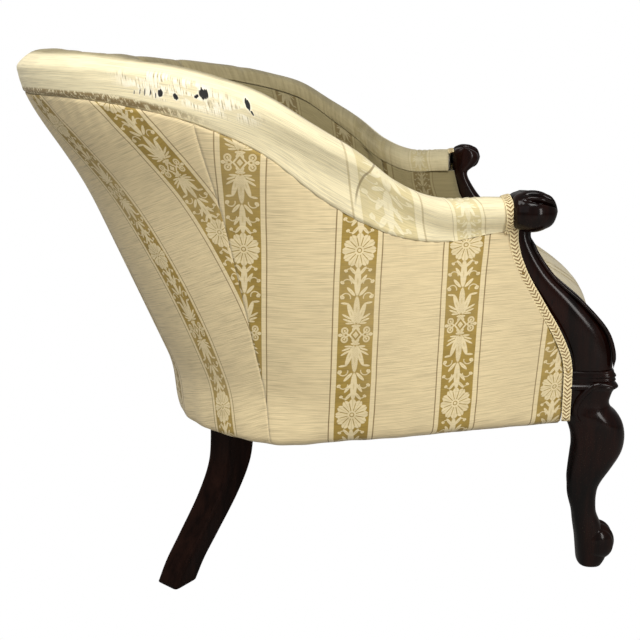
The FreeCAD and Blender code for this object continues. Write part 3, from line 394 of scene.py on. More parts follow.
def parts_of(place):
    node = place.tree.nodes.new("ShaderNodeSeparateXYZ")
    place.tree.links.new(place.socket, node.inputs[0])
    return [Field(place.tree, output) for output in node.outputs]


def woven(name, dark, light, pitch):
    """A plain open weave, its threads a pitch apart."""
    material, tree, shader = material_of(name)
    place = coordinates(tree, "UV")
    u, v = parts_of(place)[:2]
    wobble = noise(place, (60, 60, 60), 2) * pitch * 0.8
    warp = ((u + wobble) * (math.pi / pitch)).math("SINE").size()
    weft = ((v + wobble) * (math.pi / pitch)).math("SINE").size()
    threads = warp.most(weft)
    patches = noise(place, (18, 18, 18), 3)
    colour = coloured(threads.step(0.55, 0.95) * patches.step(0.2, 0.8, 0.6, 1), dark, light)
    finished(tree, shader, colour, 0.9)
    raised(tree, shader, threads, 0.0005, 0.8)
    return material


hessian = woven("hessian", (0.10, 0.065, 0.03), (0.42, 0.31, 0.18), 0.0016)
hessian_in = -0.021
hessian_reach = 12.25
hessian_foot = 0.3262
hessian_top = -0.0685


def back_hessian_place(u, v):
    station = blended(-hessian_reach, hessian_reach, u)
    low = wall_drop(station, hessian_foot, 0.022)
    inwards = hessian_in - 0.0008 * math.sin(9 * v)
    return wall_point(station, inwards, blended(low, hessian_top, v))


back_hessian = shaped("hessian_of_back", 160, 20, back_hessian_place, hessian,
                      lambda u, v: (u * 2.0, v * 0.42))
thickened(back_hessian, 0.001)
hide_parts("back_hessian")


# Under the seat: jute webbing tacked across the frame, coil springs on it, laid cord over them, and
# hessian over the cord. A black dust cloth closes the bottom. Each cloth is cut to its solid's plan,
# with a fine grid of threads that sags a little between its tacks.
def cut_cloth(name, node_name, material, sag=0, draw_in=1.0):
    work = bmesh.new()
    work.from_mesh(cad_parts[node_name].data)
    bmesh.ops.remove_doubles(work, verts=work.verts, dist=0.00002)
    for halving in range(6):
        long_edges = [edge for edge in work.edges if edge.calc_length() > 0.030]
        bmesh.ops.subdivide_edges(work, edges=long_edges, cuts=1, use_grid_fill=False)
        bmesh.ops.triangulate(work, faces=[face for face in work.faces if len(face.verts) > 4])
    layer = work.loops.layers.uv.new("cloth")
    for face in work.faces:
        for loop in face.loops:
            loop[layer].uv = loop.vert.co.x, loop.vert.co.y
    for vertex in work.verts:
        place = vertex.co
        place.z = place.z + sag * math.sin(place.x * 37) * math.sin(place.y * 31)
        place.x = place.x * draw_in
        place.y = place.y * draw_in
    bmesh.ops.recalc_face_normals(work, faces=work.faces)
    cloth = added(name, work, material)
    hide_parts(node_name)
    return cloth


jute = woven("jute_webbing", (0.16, 0.10, 0.05), (0.50, 0.38, 0.22), 0.0022)
webs = cut_cloth("webbing_lengthwise", "seat_webbing_lengthwise", jute)
webs = cut_cloth("webbing_across", "seat_webbing_across", jute)
spring_hessian = cut_cloth("hessian_over_springs", "seat_hessian", hessian,
                           -0.0006)

dust_cloth, dust_tree, dust_shader = material_of("dust_cloth")
dust_place = coordinates(dust_tree, "Object")
dust_threads = noise(dust_place, (900, 900, 900), 2)
dust_patches = noise(dust_place, (9, 9, 9), 3)
dust_colour = coloured(dust_threads * 0.5 + dust_patches * 0.5, (0.008, 0.008, 0.009),
                       (0.045, 0.043, 0.040))
finished(dust_tree, dust_shader, dust_colour, 0.95)
raised(dust_tree, dust_shader, dust_threads, 0.0002, 0.5)
black_cloth = cut_cloth("black_dust_cloth", "underside_cloth", dust_cloth,
                        -0.0005, 0.985)

spring_wire = spotted_metal("spring_wire", (0.34, 0.27, 0.20), (0.10, 0.05, 0.03),
                            120, 3, 0.4, 0.75, 0.35, 0.9)
repaint(spring_wire, "seat_springs")

laid_cord, cord_tree, cord_shader = material_of("laid_cord")
cord_x, cord_y, cord_z = parts_of(coordinates(cord_tree, "Object"))
cord_lay = ((cord_x + cord_y + cord_z * 2) * 900).math("SINE")
cord_colour = coloured(cord_lay.step(-1, 1), (0.28, 0.20, 0.11), (0.62, 0.50, 0.33))
finished(cord_tree, cord_shader, cord_colour, 0.85)
raised(cord_tree, cord_shader, cord_lay, 0.0004, 0.8)
repaint(laid_cord, "spring_lashing")


# The outside: a panel on each side and one round the back, sewn together at the rear corners and
# tacked under the rails. The cloth is a cream slubbed ground with woven stripes of gold damask. Each
# panel is cut flat, so its stripes follow the flattened wall.
stripe_pitch = 0.156
flower_repeat = 0.236


def place_of(tree, x, y, z=0):
    return worked_out(tree, "ShaderNodeCombineXYZ", 0, {0: x, 1: y, 2: z})


def shifted(place, centre, reach=(1, 1, 1), turn=0):
    """The place as measured from a centre, along turned directions, in shares of the reach."""
    return worked_out(place.tree, "ShaderNodeMapping", 0,
                      {"Location": (centre[0], centre[1], 0), "Scale": reach, "Vector": place,
                       "Rotation": (0, 0, math.radians(turn))}, vector_type="TEXTURE")


def length_of(place):
    return worked_out(place.tree, "ShaderNodeVectorMath", "Value", {0: place}, operation="LENGTH")


def nearest_of(place, ovals):
    """How far off the nearest oval is: one on its edge. Each has a centre, two halves and a turn."""
    nearest = None
    for centre, half_length, half_width, turn in ovals:
        reach = length_of(shifted(place, centre, (half_length, half_width, 1), turn))
        nearest = reach if nearest is None else nearest.least(reach)
    return nearest


def damask_group():
    """Masks for the stripe, its gold ground and its figures, from a place on the cloth.

    Each stripe has a dark line, a cream band and a gold ground with a traditional damask of
    rosettes, leafy bells and lozenges, which mirrors about each rosette and each lozenge. It is
    measured in millimetres of cloth.
    """
    tree = bpy.data.node_groups.new("striped_damask", "ShaderNodeTree")
    tree.interface.new_socket("Cloth", in_out="INPUT", socket_type="NodeSocketVector")
    for mask in ("Line", "Band", "Gold", "Figure", "Vein"):
        tree.interface.new_socket(mask, in_out="OUTPUT", socket_type="NodeSocketFloat")
    entry = tree.nodes.new("NodeGroupInput")
    leave = tree.nodes.new("NodeGroupOutput")
    u, v = parts_of(Field(tree, entry.outputs["Cloth"]))[:2]
    sideways = (u + stripe_pitch / 2).math("WRAP", stripe_pitch, 0.0) - stripe_pitch / 2
    x = sideways.size() * 1000
    y = v.math("PINGPONG", flower_repeat / 2) * 1000
    place = place_of(tree, x, y)

    line = x.inside(33.0, 0.35) * x.step(31.0, 31.7)
    band = x.inside(31.0, 0.4) * x.step(24.4, 25.2)
    gold = x.inside(24.8, 0.35)

    radius = length_of(place)
    angle = y.math("ARCTAN2", x)
    from_petal = angle.math("PINGPONG", math.radians(15))
    petal_edge = (from_petal * from_petal) * -60 + 23.4
    notch = from_petal.inside(0.035, 0.02) * 1.2
    petal = radius / (petal_edge - notch)
    petal = petal.most(radius.step(5.2, 6.0, 2, 0))
    gap = ((from_petal * -1 + math.radians(15)) * radius).inside(0.55, 0.25) * radius.inside(18, 2)
    ring = (radius - 4.7).size() / 1.3
    heart = radius / 2.2

    # Leaves, buds and the bell: centre, half length, half width and turn.
    nearest = nearest_of(place, (
        ((6.5, 27.5), 7.2, 2.1, -49), ((7.8, 39.5), 7.8, 2.1, -54), ((8.6, 56.0), 8.2, 2.3, -47),
        ((16.6, 26.9), 2.7, 1.9, -20), ((20.8, 42.9), 3.0, 2.2, -30), ((20.3, 63.6), 3.4, 2.6, -35),
        ((7.2, 87.5), 16.0, 3.6, -71), ((16.8, 72.6), 5.2, 1.5, -8), ((0.0, 42.0), 20.0, 4.6, 90),
        ((0.0, 82.0), 19.0, 4.4, 90), ((13.2, 92.0), 7.6, 1.5, -31), ((12.2, 97.2), 6.6, 1.4, -20),
        ((9.4, 101.4), 5.4, 1.3, 0), ((0.0, 105.2), 6.5, 1.9, 0), ((11.6, 116.4), 5.0, 1.2, -42),
        ((21.3, 118.0), 3.0, 2.4, 0), ((18.0, 118.0), 3.4, 1.0, 0), ((3.4, 108.4), 3.6, 1.2, 60)))
    # Curling stems and scrolls: centre, radius, half thickness, and how far down they run.
    for centre, bend, thin, lowest in (((12.0, 28.8), 4.6, 0.65, 30), ((14.2, 44.6), 6.0, 0.75, 46),
                                       ((15.4, 64.8), 6.4, 0.8, 67), ((15.4, 111.8), 3.9, 1.15, 200)):
        off_ring = (length_of(shifted(place, centre)) - bend).size() / thin
        nearest = nearest.least(off_ring + y.step(lowest - 1, lowest + 1, 0, 9))
    nearest = nearest.least(length_of(shifted(place, (15.4, 111.8))) / 1.5)
    diamond = x / 9.8 + (y - 118.0).size() / 12.0
    lozenge = (diamond - 0.86).size() / 0.15
    heart_of_lozenge = diamond / 0.42
    figures = nearest.least(lozenge).least(heart_of_lozenge).least(ring).least(heart)

    flower = petal.inside(1, 0.03) * (gap * -1 + 1)
    figure = figures.inside(1, 0.09).most(flower) * gold
    net = ((x + y) * 1.3).math("SINE").size() * ((x - y) * 1.3).math("SINE").size()
    column = x.inside(4.2, 0.4) * y.step(62, 64) * net.inside(0.12, 0.06)
    vein = (nearest.inside(0.22, 0.12) * 0.8).most(column).most(from_petal.inside(0.03, 0.02)
                                                                * flower * 0.7)
    for mask, field in (("Line", line), ("Band", band), ("Gold", gold), ("Figure", figure),
                        ("Vein", vein * figure)):
        tree.links.new(field.socket, leave.inputs[mask])
    return tree


striped_damask = damask_group()


def cover_material(name, ground, gold, cream, dark, wear=0.0, threads=None):
    """The cover's cloth in one tone. Wear fades the stripes into the ground."""
    material, tree, shader = material_of(name)
    place = coordinates(tree, "UV")
    drift = noise(place, (7, 7, 7), 2)
    u, v = parts_of(place)[:2]
    cloth = place_of(tree, u + (drift - 0.5) * 0.004, v + (drift - 0.5) * 0.006)
    group = tree.nodes.new("ShaderNodeGroup")
    group.node_tree = striped_damask
    tree.links.new(cloth.socket, group.inputs["Cloth"])
    line, band, gold_mask, figure, vein = [Field(tree, output) for output in group.outputs]
    if threads:
        place = worked_out(tree, "ShaderNodeUVMap", 0, {}, uv_map=threads)
    # Slubs: fine uneven threads across the cloth, some thicker and darker.
    fine = noise(place, (34, 1150, 1), 2, 0.5)
    slub = noise(place, (13, 640, 1), 2, 0.6)
    mottle = noise(place, (34, 60, 30), 4, 0.6)
    soil = noise(place, (5, 5, 5), 3)
    ribs = fine * 0.45 + slub * 0.55
    base = coloured(ribs.step(0.38, 0.60), scaled(ground, 0.74), ground)
    base = coloured(slub.inside(0.33, 0.04) * 0.6, base, scaled(ground, 0.50))
    base = coloured(mottle.step(0.35, 0.7) * 0.18, base, scaled(cream, 1.06))
    gold_cloth = coloured((fine * 0.5 + mottle * 0.5).step(0.35, 0.65), scaled(gold, 0.80),
                          scaled(gold, 1.14))
    pale = coloured(fine.step(0.3, 0.6), scaled(cream, 0.84), cream)
    stripe = coloured(band * 0.45, coloured(gold_mask, base, gold_cloth), cream)
    figured = coloured(vein, pale, tuple(blended(a, b, 0.5) for a, b in zip(cream, gold)))
    stripe = coloured(figure * mottle.step(0.25, 0.6, 0.78, 1), stripe, figured)
    stripe = coloured(line * 0.85, stripe, dark)
    if wear:
        worn = mottle.step(0.3, 0.6, wear, wear * 0.75)
        stripe = coloured(worn, stripe, base)
    stained = coloured(soil.step(0.45, 0.8) * 0.3, stripe, scaled(ground, 0.74))
    tree.links.new(stained.socket, shader.inputs["Base Color"])
    rough = (gold_mask * -0.10 + 0.84) - figure * 0.10
    tree.links.new(rough.socket, shader.inputs["Roughness"])
    shader.inputs["Sheen Weight"].default_value = 0.18
    shader.inputs["Sheen Roughness"].default_value = 0.45
    relief = ribs * 0.9 * (gold_mask * -0.6 + 1) + figure * 0.35 - vein * 0.2 + mottle * 0.3
    raised(tree, shader, relief, 0.0008, 0.8)
    return material, tree, shader, stained, place


outside_cloth = cover_material(
    "outside_cover", (0.73, 0.595, 0.345), (0.320, 0.212, 0.036), (0.75, 0.625, 0.37),
    (0.15, 0.088, 0.022))[0]


def dist(first, second):
    return (first - second).length


def fourth_corner(start, end, from_start, from_end, side):
    """The point at two distances from two others, on one side of them, all on the flat cloth."""
    run = end - start
    gap = run.length
    forward = (from_start ** 2 - from_end ** 2 + gap ** 2) / (2 * gap)
    off = math.sqrt(max(0, from_start ** 2 - forward ** 2)) * side
    return Vector((start.x + run.x / gap * forward - run.y / gap * off,
                   start.y + run.y / gap * forward + run.x / gap * off))


flat_step = 0.25


def flattened(start, end):
    """The wall's rulings laid out flat, from the first, which stays upright."""
    way = 1 if end > start else -1
    low, high = wall_line(start)
    flat_low, flat_high = Vector((0, 0)), Vector((0, dist(low, high)))
    table = {start: (flat_low, flat_high)}
    for step in range(1, int(round(abs(end - start) / flat_step)) + 1):
        station = start + way * step * flat_step
        next_low, next_high = wall_line(station)
        moved_high = fourth_corner(flat_low, flat_high, dist(low, next_high),
                                   dist(high, next_high), -way)
        flat_low = fourth_corner(flat_low, moved_high, dist(low, next_low),
                                 dist(next_high, next_low), -way)
        flat_high, low, high = moved_high, next_low, next_high
        table[station] = (flat_low, flat_high)
    return table


def flat_place(table, station, share):
    first = min(max(math.floor(station / flat_step) * flat_step, min(table)), max(table) - flat_step)
    rest = (station - first) / flat_step
    low = blended(table[first][0], table[first + flat_step][0], rest)
    high = blended(table[first][1], table[first + flat_step][1], rest)
    return blended(low, high, share)


flat_back = flattened(0, 7)
flat_side = flattened(8.5, 14)
flat_side.update(flattened(8.5, 5.5))
seam_station = 6
roll_foot = -0.044
panel_swell = 0.004
edge_pinch = 0.0035
back_hollow = 0.0026
crest_flare = 0.0210
foot_flare = 0.020
hem_width = 0.010
hem_drop = 0.0035
# How far down the roll's outer skirt comes at each station, as a share of the roll's depth.
skirt_shares = (1.07, 1.09, 1.11, 1.16, 1.20, 1.30, 1.50, 1.86, 2.32, 2.36, 1.93, 1.48, 1.20, 1.08,
                1.04)


def skirt_drop(station):
    place = min(abs(station), 13.999)
    first = int(place)
    points = [skirt_shares[min(max(first + step, 0), 14)] for step in (-1, 0, 1, 2)]
    if first == 0:
        points[0] = skirt_shares[1]
    return roll_foot * through(*points, place - first)


def panel_rise(station, share):
    low, high = wall_line(station)
    return blended(-(high - low).length, skirt_drop(station), share)


def smooth(share):
    share = min(max(share, 0), 1)
    return share * share * (3 - 2 * share)


def at_back(station):
    return 1 - smooth((abs(station) - 6.0) / 2.0)


def panel_place(station, share):
    """A point of the outside cover. The sides swell; the back is hollow and flares at its edges."""
    side_swell = panel_swell * math.sin(math.pi * share) ** 0.8 - 0.001
    side_swell = side_swell - edge_pinch * (1 - smooth(share / 0.05))
    hollow = -back_hollow + crest_flare * smooth((share - 0.60) / 0.40) ** 1.6
    hollow = hollow + foot_flare * (1 - smooth(share / 0.20)) ** 1.5
    swell = blended(side_swell, hollow, at_back(station))
    pucker = 0.0007 * math.sin(station * 9.0) * (1 - smooth(share / 0.25))
    pull = 0.0006 * math.sin(station * 23.0 + 5 * share) * smooth((share - 0.80) / 0.20)
    turned = hem_width * (1 - smooth(share / 0.012)) if share < 0.012 else 0
    rise = panel_rise(station, share) - (hem_drop if turned else 0)
    return wall_point(station, swell + pucker + pull - turned, rise)


def share_up(station, share):
    low, high = wall_line(station)
    return 1 + panel_rise(station, share) / (high - low).length


# Where the stripes were sewn: place across the flattened wall, and the stripe's number.
back_stripes = ((0.0, 0.0), (0.420, 2.45), (0.4645, 2.793), (0.505, 3.207), (0.5764, 3.793),
                (0.630, 4.207), (0.75, 5.0))
side_stripes = ((-0.345, -2), (-0.180, -1), (-0.015, 0), (0.142, 1), (0.3105, 2), (0.48, 3))
back_flowers = ((0.0, 0.0), (0.246, 0.236), (0.35, 0.354), (0.60, 0.61))


def read_off(table, value):
    """The second column of a table where the first has this value."""
    for (start, low), (end, high) in zip(table, table[1:]):
        if value <= end:
            break
    return blended(low, high, (value - start) / (end - start))


def back_cloth(station, share):
    flat = flat_place(flat_back, abs(station), share_up(station, share))
    above = flat.y - 0.2
    across = read_off(back_stripes, flat.x + 0.0702 * above + 0.567 * above ** 2)
    return math.copysign(across, station) * stripe_pitch, read_off(back_flowers, flat.y)


def side_cloth(station, share):
    flat = flat_place(flat_side, abs(station), share_up(station, share))
    across = flat.x - (0.195 + 0.3 * max(0, flat.x)) * (flat.y - 0.15)
    rise = flat.y + flat.x * (0.06 + 0.29 * flat.y) - 0.2798
    return read_off(side_stripes, across) * stripe_pitch, rise * 0.99


def along_points(points, share):
    """The place at a share, from 0 to 1, of a smooth curve through the points."""
    place = share * (len(points) - 1)
    first = min(int(place), len(points) - 2)
    before = points[first - 1] if first else 2 * points[0] - points[1]
    after = points[first + 2] if first + 2 < len(points) else 2 * points[-1] - points[-2]
    return through(before, points[first], points[first + 1], after, place - first)


# The arm facing's rear edge closes the wall: how far forward it is at each height.
collar = 0.3328
facing_back = 0.2645
facing_long = 0.184
facing_tall = 0.271
facing_rear = [Vector((0, forward, up)) for forward, up in (
    (0.565, -0.300), (0.565, -0.150), (0.565, 0.000), (0.538, 0.096), (0.446, 0.232),
    (0.315, 0.380), (0.163, 0.557), (0.085, 0.712), (0.082, 0.850), (0.060, 0.960))]


def facing_place(forward, up, out=0):
    return Vector((out, -(facing_back + forward * facing_long), collar + up * facing_tall))


rear_edge = [facing_place(point.y, point.z)
             for point in (along_points(facing_rear, step / 180) for step in range(181))]


def rear_edge_at(height):
    """Y of the facing's rear edge at this height."""
    for low, high in zip(rear_edge, rear_edge[1:]):
        if low.z <= height <= high.z:
            return blended(low.y, high.y, (height - low.z) / (high.z - low.z))
    return rear_edge[0].y if height < rear_edge[0].z else rear_edge[-1].y


def last_station(outwards, upwards_of):
    """The station where a line along the wall meets the facing's rear edge."""
    near, far = 10.0, 14.0
    for halving in range(18):
        middle = (near + far) / 2
        point = wall_point(middle, outwards, upwards_of(middle))
        if point.y > rear_edge_at(point.z):
            near = middle
        else:
            far = middle
    return near


def between(values, place):
    """What a list says at a place between two of its entries."""
    first = min(int(place), len(values) - 2)
    return blended(values[first], values[first + 1], place - first)


panel_ends = [last_station(0, lambda station, share=step / 24: panel_rise(station, share))
              for step in range(25)]


both_sides = ((1, "right"), (-1, "left"))
for side, name in both_sides:
    def side_station(u, v, side=side):
        return side * blended(seam_station, between(panel_ends, v * 24), u)

    panel = shaped("side_cover_" + name, 110, 80,
                   lambda u, v: panel_place(side_station(u, v), v), outside_cloth,
                   lambda u, v: side_cloth(side_station(u, v), v))
    thickened(panel, 0.0015)
    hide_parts("outside_panel_" + name)

back_panel = shaped("back_cover", 200, 80,
                    lambda u, v: panel_place(blended(-seam_station, seam_station, u), v),
                    outside_cloth,
                    lambda u, v: back_cloth(blended(-seam_station, seam_station, u), v))
thickened(back_panel, 0.0015)
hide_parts("outside_back_panel")


# The roll: stuffing over the top of the arms and back, with its own cover. It is gathered at the
# arms, and the humps of the buttoned back show along its inner side.
roll_cloth, roll_tree, roll_shader, roll_colour, roll_threads = cover_material(
    "roll_cover", (0.89, 0.785, 0.505), (0.61, 0.50, 0.215), (0.92, 0.84, 0.57), (0.36, 0.26, 0.10),
    wear=0.50, threads="worn")

# Inside the crown the roll's colour is painted shade, the darker tone of the inside pads, weaker
# along the arms. On the left side it is worn: frayed over the crown in slits and small holes, and
# rubbed to its gold warp along the seam. Each hole has its place along the crest and round the roll,
# its half sizes and its turn, in metres.
along_roll, round_roll = parts_of(roll_threads)[:2]
inner_roll_painted_shade = round_roll.step(0.088, 0.097) * along_roll.size().step(0.98, 1.10, 1, 0.6)
crease_shade_noise = noise(roll_threads, (90, 14, 1), 3, 0.6)
# The painted shade's two tones, varied in creases along the roll.
shaded = coloured(crease_shade_noise.step(0.35, 0.65), (0.195, 0.158, 0.070), (0.270, 0.224, 0.112))
roll_colour = coloured(inner_roll_painted_shade * 0.9, roll_colour, shaded)
frayed_threads = noise(roll_threads, (420, 34, 1), 2, 0.6)
frayed = (length_of(shifted(roll_threads, (-0.680, 0.053), (0.120, 0.030, 1), 6)).step(0.6, 1.0, 1, 0)
          * noise(roll_threads, (40, 60, 1), 2).step(0.40, 0.52))
roll_colour = coloured(frayed * frayed_threads.step(0.40, 0.56), roll_colour, (0.93, 0.87, 0.70))
roll_colour = coloured(frayed * frayed_threads.inside(0.40, 0.05) * 0.7, roll_colour,
                       (0.24, 0.18, 0.10))
rubbed_noise = noise(roll_threads, (240, 60, 1), 3, 0.65)
rubbed = (length_of(shifted(roll_threads, (-0.47, 0.018), (0.26, 0.017, 1), 2)).step(0.6, 1.0, 1, 0)
          * rubbed_noise.step(0.40, 0.50))
roll_colour = coloured(rubbed * 0.92, roll_colour, (0.25, 0.165, 0.055))
opened = nearest_of(roll_threads, (
    ((-0.6452, 0.0457), 0.0036, 0.0068, 20), ((-0.6655, 0.0440), 0.0034, 0.0058, -10),
    ((-0.7055, 0.0600), 0.0062, 0.0095, 15), ((-0.6950, 0.0520), 0.0026, 0.0050, 30),
    ((-0.7640, 0.0640), 0.0040, 0.0090, -8), ((-0.7690, 0.0510), 0.0018, 0.0045, -20),
    ((-0.6160, 0.0420), 0.0007, 0.0060, 14), ((-0.6235, 0.0440), 0.0008, 0.0070, 12),
    ((-0.6310, 0.0430), 0.0008, 0.0062, 16), ((-0.6380, 0.0400), 0.0007, 0.0055, 10),
    ((-0.6075, 0.0400), 0.0006, 0.0045, 14)))
opened = opened + (frayed_threads - 0.5) * 1.6
hole = opened.inside(1.0, 0.12)
roll_colour = coloured(opened.step(1.0, 1.7, 1, 0) * 0.6, roll_colour, (0.95, 0.90, 0.76))
# The holes are painted near black: painted shade inside them.
roll_colour = coloured(hole, roll_colour, (0.012, 0.011, 0.012))
# The seam where the roll of the back ends and the roll of the arm begins.
join = (along_roll + round_roll * 0.62 + 0.905).size()
join = join.inside(0.0016, 0.0008) * round_roll.step(0.005, 0.02) * along_roll.inside(-0.5, 0.1)
roll_colour = coloured(join * 0.7, roll_colour, (0.20, 0.14, 0.06))
roll_tree.links.new(roll_colour.socket, roll_shader.inputs["Base Color"])
roll_inside = 0.061
roll_girth = 0.235
roll_core = Vector((-0.022, -0.030))
roll_top_in = 0.020


def roll_outline(station):
    """Round the roll: up its skirt and over the crown to its inner foot, and back behind."""
    skirt = skirt_drop(station)
    flare = 0.0165 * at_back(station)
    return (Vector((0.0006 + flare, skirt)), Vector((0.0034 + flare, blended(skirt, roll_foot, 0.70))),
            Vector((0.0120 + flare * 0.42, -0.0370)), Vector((0.0168, roll_foot * 0.52)),
            Vector((0.0105, -0.0085)), Vector((-roll_top_in, 0)),
            Vector((-0.0530, -0.0120)), Vector((-0.0605, -0.0290)),
            Vector((-roll_inside, roll_foot)), Vector((-0.030, roll_foot - 0.0004)),
            Vector((-0.0030, roll_foot - 0.0004)), Vector((-0.0025, skirt)),
            Vector((0.0006 + flare, skirt)))


roll_corner_share = 8 / 12


def roll_section(station, share):
    """The corners at the inner foot and behind the skirt stay sharp."""
    outline = roll_outline(station)
    if share <= roll_corner_share:
        return along_points(outline[:9], share / roll_corner_share)
    return between(outline[8:], (share - roll_corner_share) / (1 - roll_corner_share) * 4)


crest_lengths = [0.0]
crest_step = 0.1
crest_last = 13.5
while len(crest_lengths) * crest_step <= crest_last:
    here = len(crest_lengths) * crest_step
    crest_lengths.append(crest_lengths[-1] + dist(wall_point(here, 0, 0),
                                                  wall_point(here - crest_step, 0, 0)))


def crest_length(station):
    place = min(abs(station), crest_last - 0.11) / crest_step
    return math.copysign(between(crest_lengths, place), station)


button_spacing = 0.160
pleat_width = 0.012
pleat_depth = 0.0065
gather_depth = 0.0014
lump_height = 0.0012
pleat_lengths = [side * button_spacing * (step + 0.5) * 1.09 for side in (-1, 1) for step in range(4)]


def hump(off, width):
    """A smooth hump, one at its middle, which dies away over its width."""
    return math.exp(-(off / width) ** 2)


def roll_station(u, v):
    far = roll_ends[int(round(v * roll_around))]
    return blended(-far, far, u)


def roll_place(u, v):
    station = roll_station(u, v)
    place = roll_section(station, v)
    length = crest_length(station)
    inner = smooth((v - 0.38) / 0.14) * (1 - smooth((v - 0.64) / 0.03))
    fade = 1 - smooth((abs(station) - 8.2) / 1.2)
    pleated = max(hump(length - pleat, pleat_width) for pleat in pleat_lengths)
    depth = pleat_depth * pleated * inner * fade
    over = 1 - smooth((v - 0.62) / 0.04)
    gather = smooth((abs(station) - 11.0) / 0.3) * (1 - smooth((abs(station) - 11.75) / 0.3))
    depth = depth + gather_depth * gather * over * (0.5 + 0.5 * math.sin(length * 520))
    lumps = lump_height * math.sin(length * 31 + v * 5) * math.sin(length * 13 + 2) * over
    lumps = lumps * smooth(v / 0.12)
    way = (place - roll_core).normalized()
    place = place - way * (depth + lumps)
    return wall_point(station, place.x, place.y)


roll_around = 72
roll_ends = [last_station(0.008, lambda station, v=step / roll_around: roll_section(station, v).y)
             for step in range(roll_around + 1)]

# Stripes cross the roll only over the arms: knots of station and place across the stripes.
roll_knots = ((0.0, 0.078), (8.1, 0.112), (8.6, 0.122), (10.45, 0.190), (10.9, 0.236),
              (11.05, 0.277), (11.75, 0.346), (14.0, 0.420))


def roll_cloth_place(u, v):
    return read_off(roll_knots, abs(roll_station(u, v))), v * roll_girth + 0.02


def roll_worn_place(u, v):
    return crest_length(roll_station(u, v)), v * roll_girth


roll = shaped("stuffed_roll", 520, roll_around, roll_place, roll_cloth, roll_cloth_place,
              closed=True, capped=True, worn=roll_worn_place)
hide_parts("arm_and_back_roll")


# The inside back: deep buttoned stuffing over the hessian. Creases run between the buttons, up to
# the roll and down to the seat.
# Its cloth is the outside's damask in a much darker tone: painted shade over the whole inside.
inside_cloth_painted_shade = cover_material(
    "inside_cover", (0.240, 0.198, 0.092), (0.135, 0.096, 0.028), (0.28, 0.233, 0.115),
    (0.13, 0.095, 0.035))[0]
button_lower = 0.512
button_upper = 0.640
pad_fullness = (1, 1, 1, 1, 0.95, 0.85, 0.7, 0.5, 0.3, 0.15, 0.05, 0, -0.12, -0.25, -0.25)
pad_setback = 0.023
arm_pad_depth = 0.039
back_pad_depth = 0.092
pad_belly = 0.009
pad_foot = 0.384
pad_low = pad_foot + 0.001
pad_high = roll_foot - 0.001
pad_behind = -pad_setback - 0.001
pad_end = 10
inside_pitch = 0.152


def pad_depth(station):
    fullness = between(pad_fullness, min(abs(station), 13.999))
    return blended(arm_pad_depth, back_pad_depth, fullness)


def pad_curve(station):
    """The stuffing's inner face: foot, belly and top, outwards and up from the crest."""
    depth = pad_depth(station)
    low = wall_drop(station, pad_foot, pad_setback) - 0.060
    high = roll_foot - 0.0003
    inner_low = -(pad_setback + depth)
    inner_high = -(pad_setback + min(roll_inside - pad_setback, depth))
    belly = blended(inner_low, inner_high, 0.45) - pad_belly
    return (Vector((inner_low, low)), Vector((belly, (low + high) / 2)),
            Vector((inner_high, high)))


pad_curves = {}


def three_point(first, middle, last, share):
    """A point of the curve through three points, at a share of its way."""
    return (first * (2 * share - 1) * (share - 1) + middle * (4 * share * (1 - share))
            + last * share * (2 * share - 1))


def pad_face(station, height):
    """The point of the inner face at this height."""
    key = round(station, 3)
    if key not in pad_curves:
        pad_curves[key] = pad_curve(station)
    foot, belly, top = pad_curves[key]
    low, high = 0.0, 1.0
    for halving in range(14):
        middle = (low + high) / 2
        flat = three_point(foot, belly, top, middle)
        if wall_point(station, flat.x, flat.y).z < height:
            low = middle
        else:
            high = middle
    return wall_point(station, flat.x, flat.y)


def button_row(height, count, first_share):
    """Stations evenly spaced along the face at this height, outwards from the middle."""
    found = []
    for side in (-1, 1):
        travelled = 0
        station = 0
        previous = pad_face(0, height)
        for step in range(count):
            wanted = button_spacing * (first_share + step)
            while travelled < wanted and station < pad_end:
                station = station + 0.05
                point = pad_face(side * station, height)
                travelled = travelled + dist(point, previous)
                previous = point
            found.append(side * station)
    return sorted(set(found))


lower_buttons = button_row(button_lower, 5, 0)
upper_buttons = button_row(button_upper, 3, 0.5)
button_places = ([(station, pad_face(station, button_lower)) for station in lower_buttons]
                 + [(station, pad_face(station, button_upper)) for station in upper_buttons])
creases = []
for low_station in lower_buttons:
    low_point = pad_face(low_station, button_lower)
    creases.append((low_point, pad_face(low_station, pad_foot)))
    for high_station in upper_buttons:
        high_point = pad_face(high_station, button_upper)
        if dist(low_point, high_point) < 0.19:
            creases.append((low_point, high_point))
for high_station in upper_buttons:
    creases.append((pad_face(high_station, button_upper),
                    wall_point(high_station, -roll_inside, roll_foot)))
for low_station in (lower_buttons[0], lower_buttons[-1]):
    creases.append((pad_face(low_station, button_lower),
                    wall_point(low_station * 1.02, -roll_inside, roll_foot)))


def from_line(point, start, end):
    run = end - start
    share = min(max((point - start).dot(run) / run.length_squared, 0), 1)
    return (point - start - run * share).length


tuft_depth = 0.0235
tuft_reach = 0.021
crease_depth = 0.0085
crease_reach = 0.0075
puff_height = 0.005


def tufted(point):
    """How deep the buttons and creases draw the face in at this point."""
    near_button = min(dist(point, place) for station, place in button_places)
    near_crease = min(from_line(point, start, end) for start, end in creases)
    pit = tuft_depth * math.exp(-(near_button / tuft_reach) ** 1.35)
    crease = crease_depth * math.exp(-(near_crease / crease_reach) ** 1.1)
    puff = puff_height * smooth(near_crease / 0.045)
    return max(pit, crease) - puff + 0.002


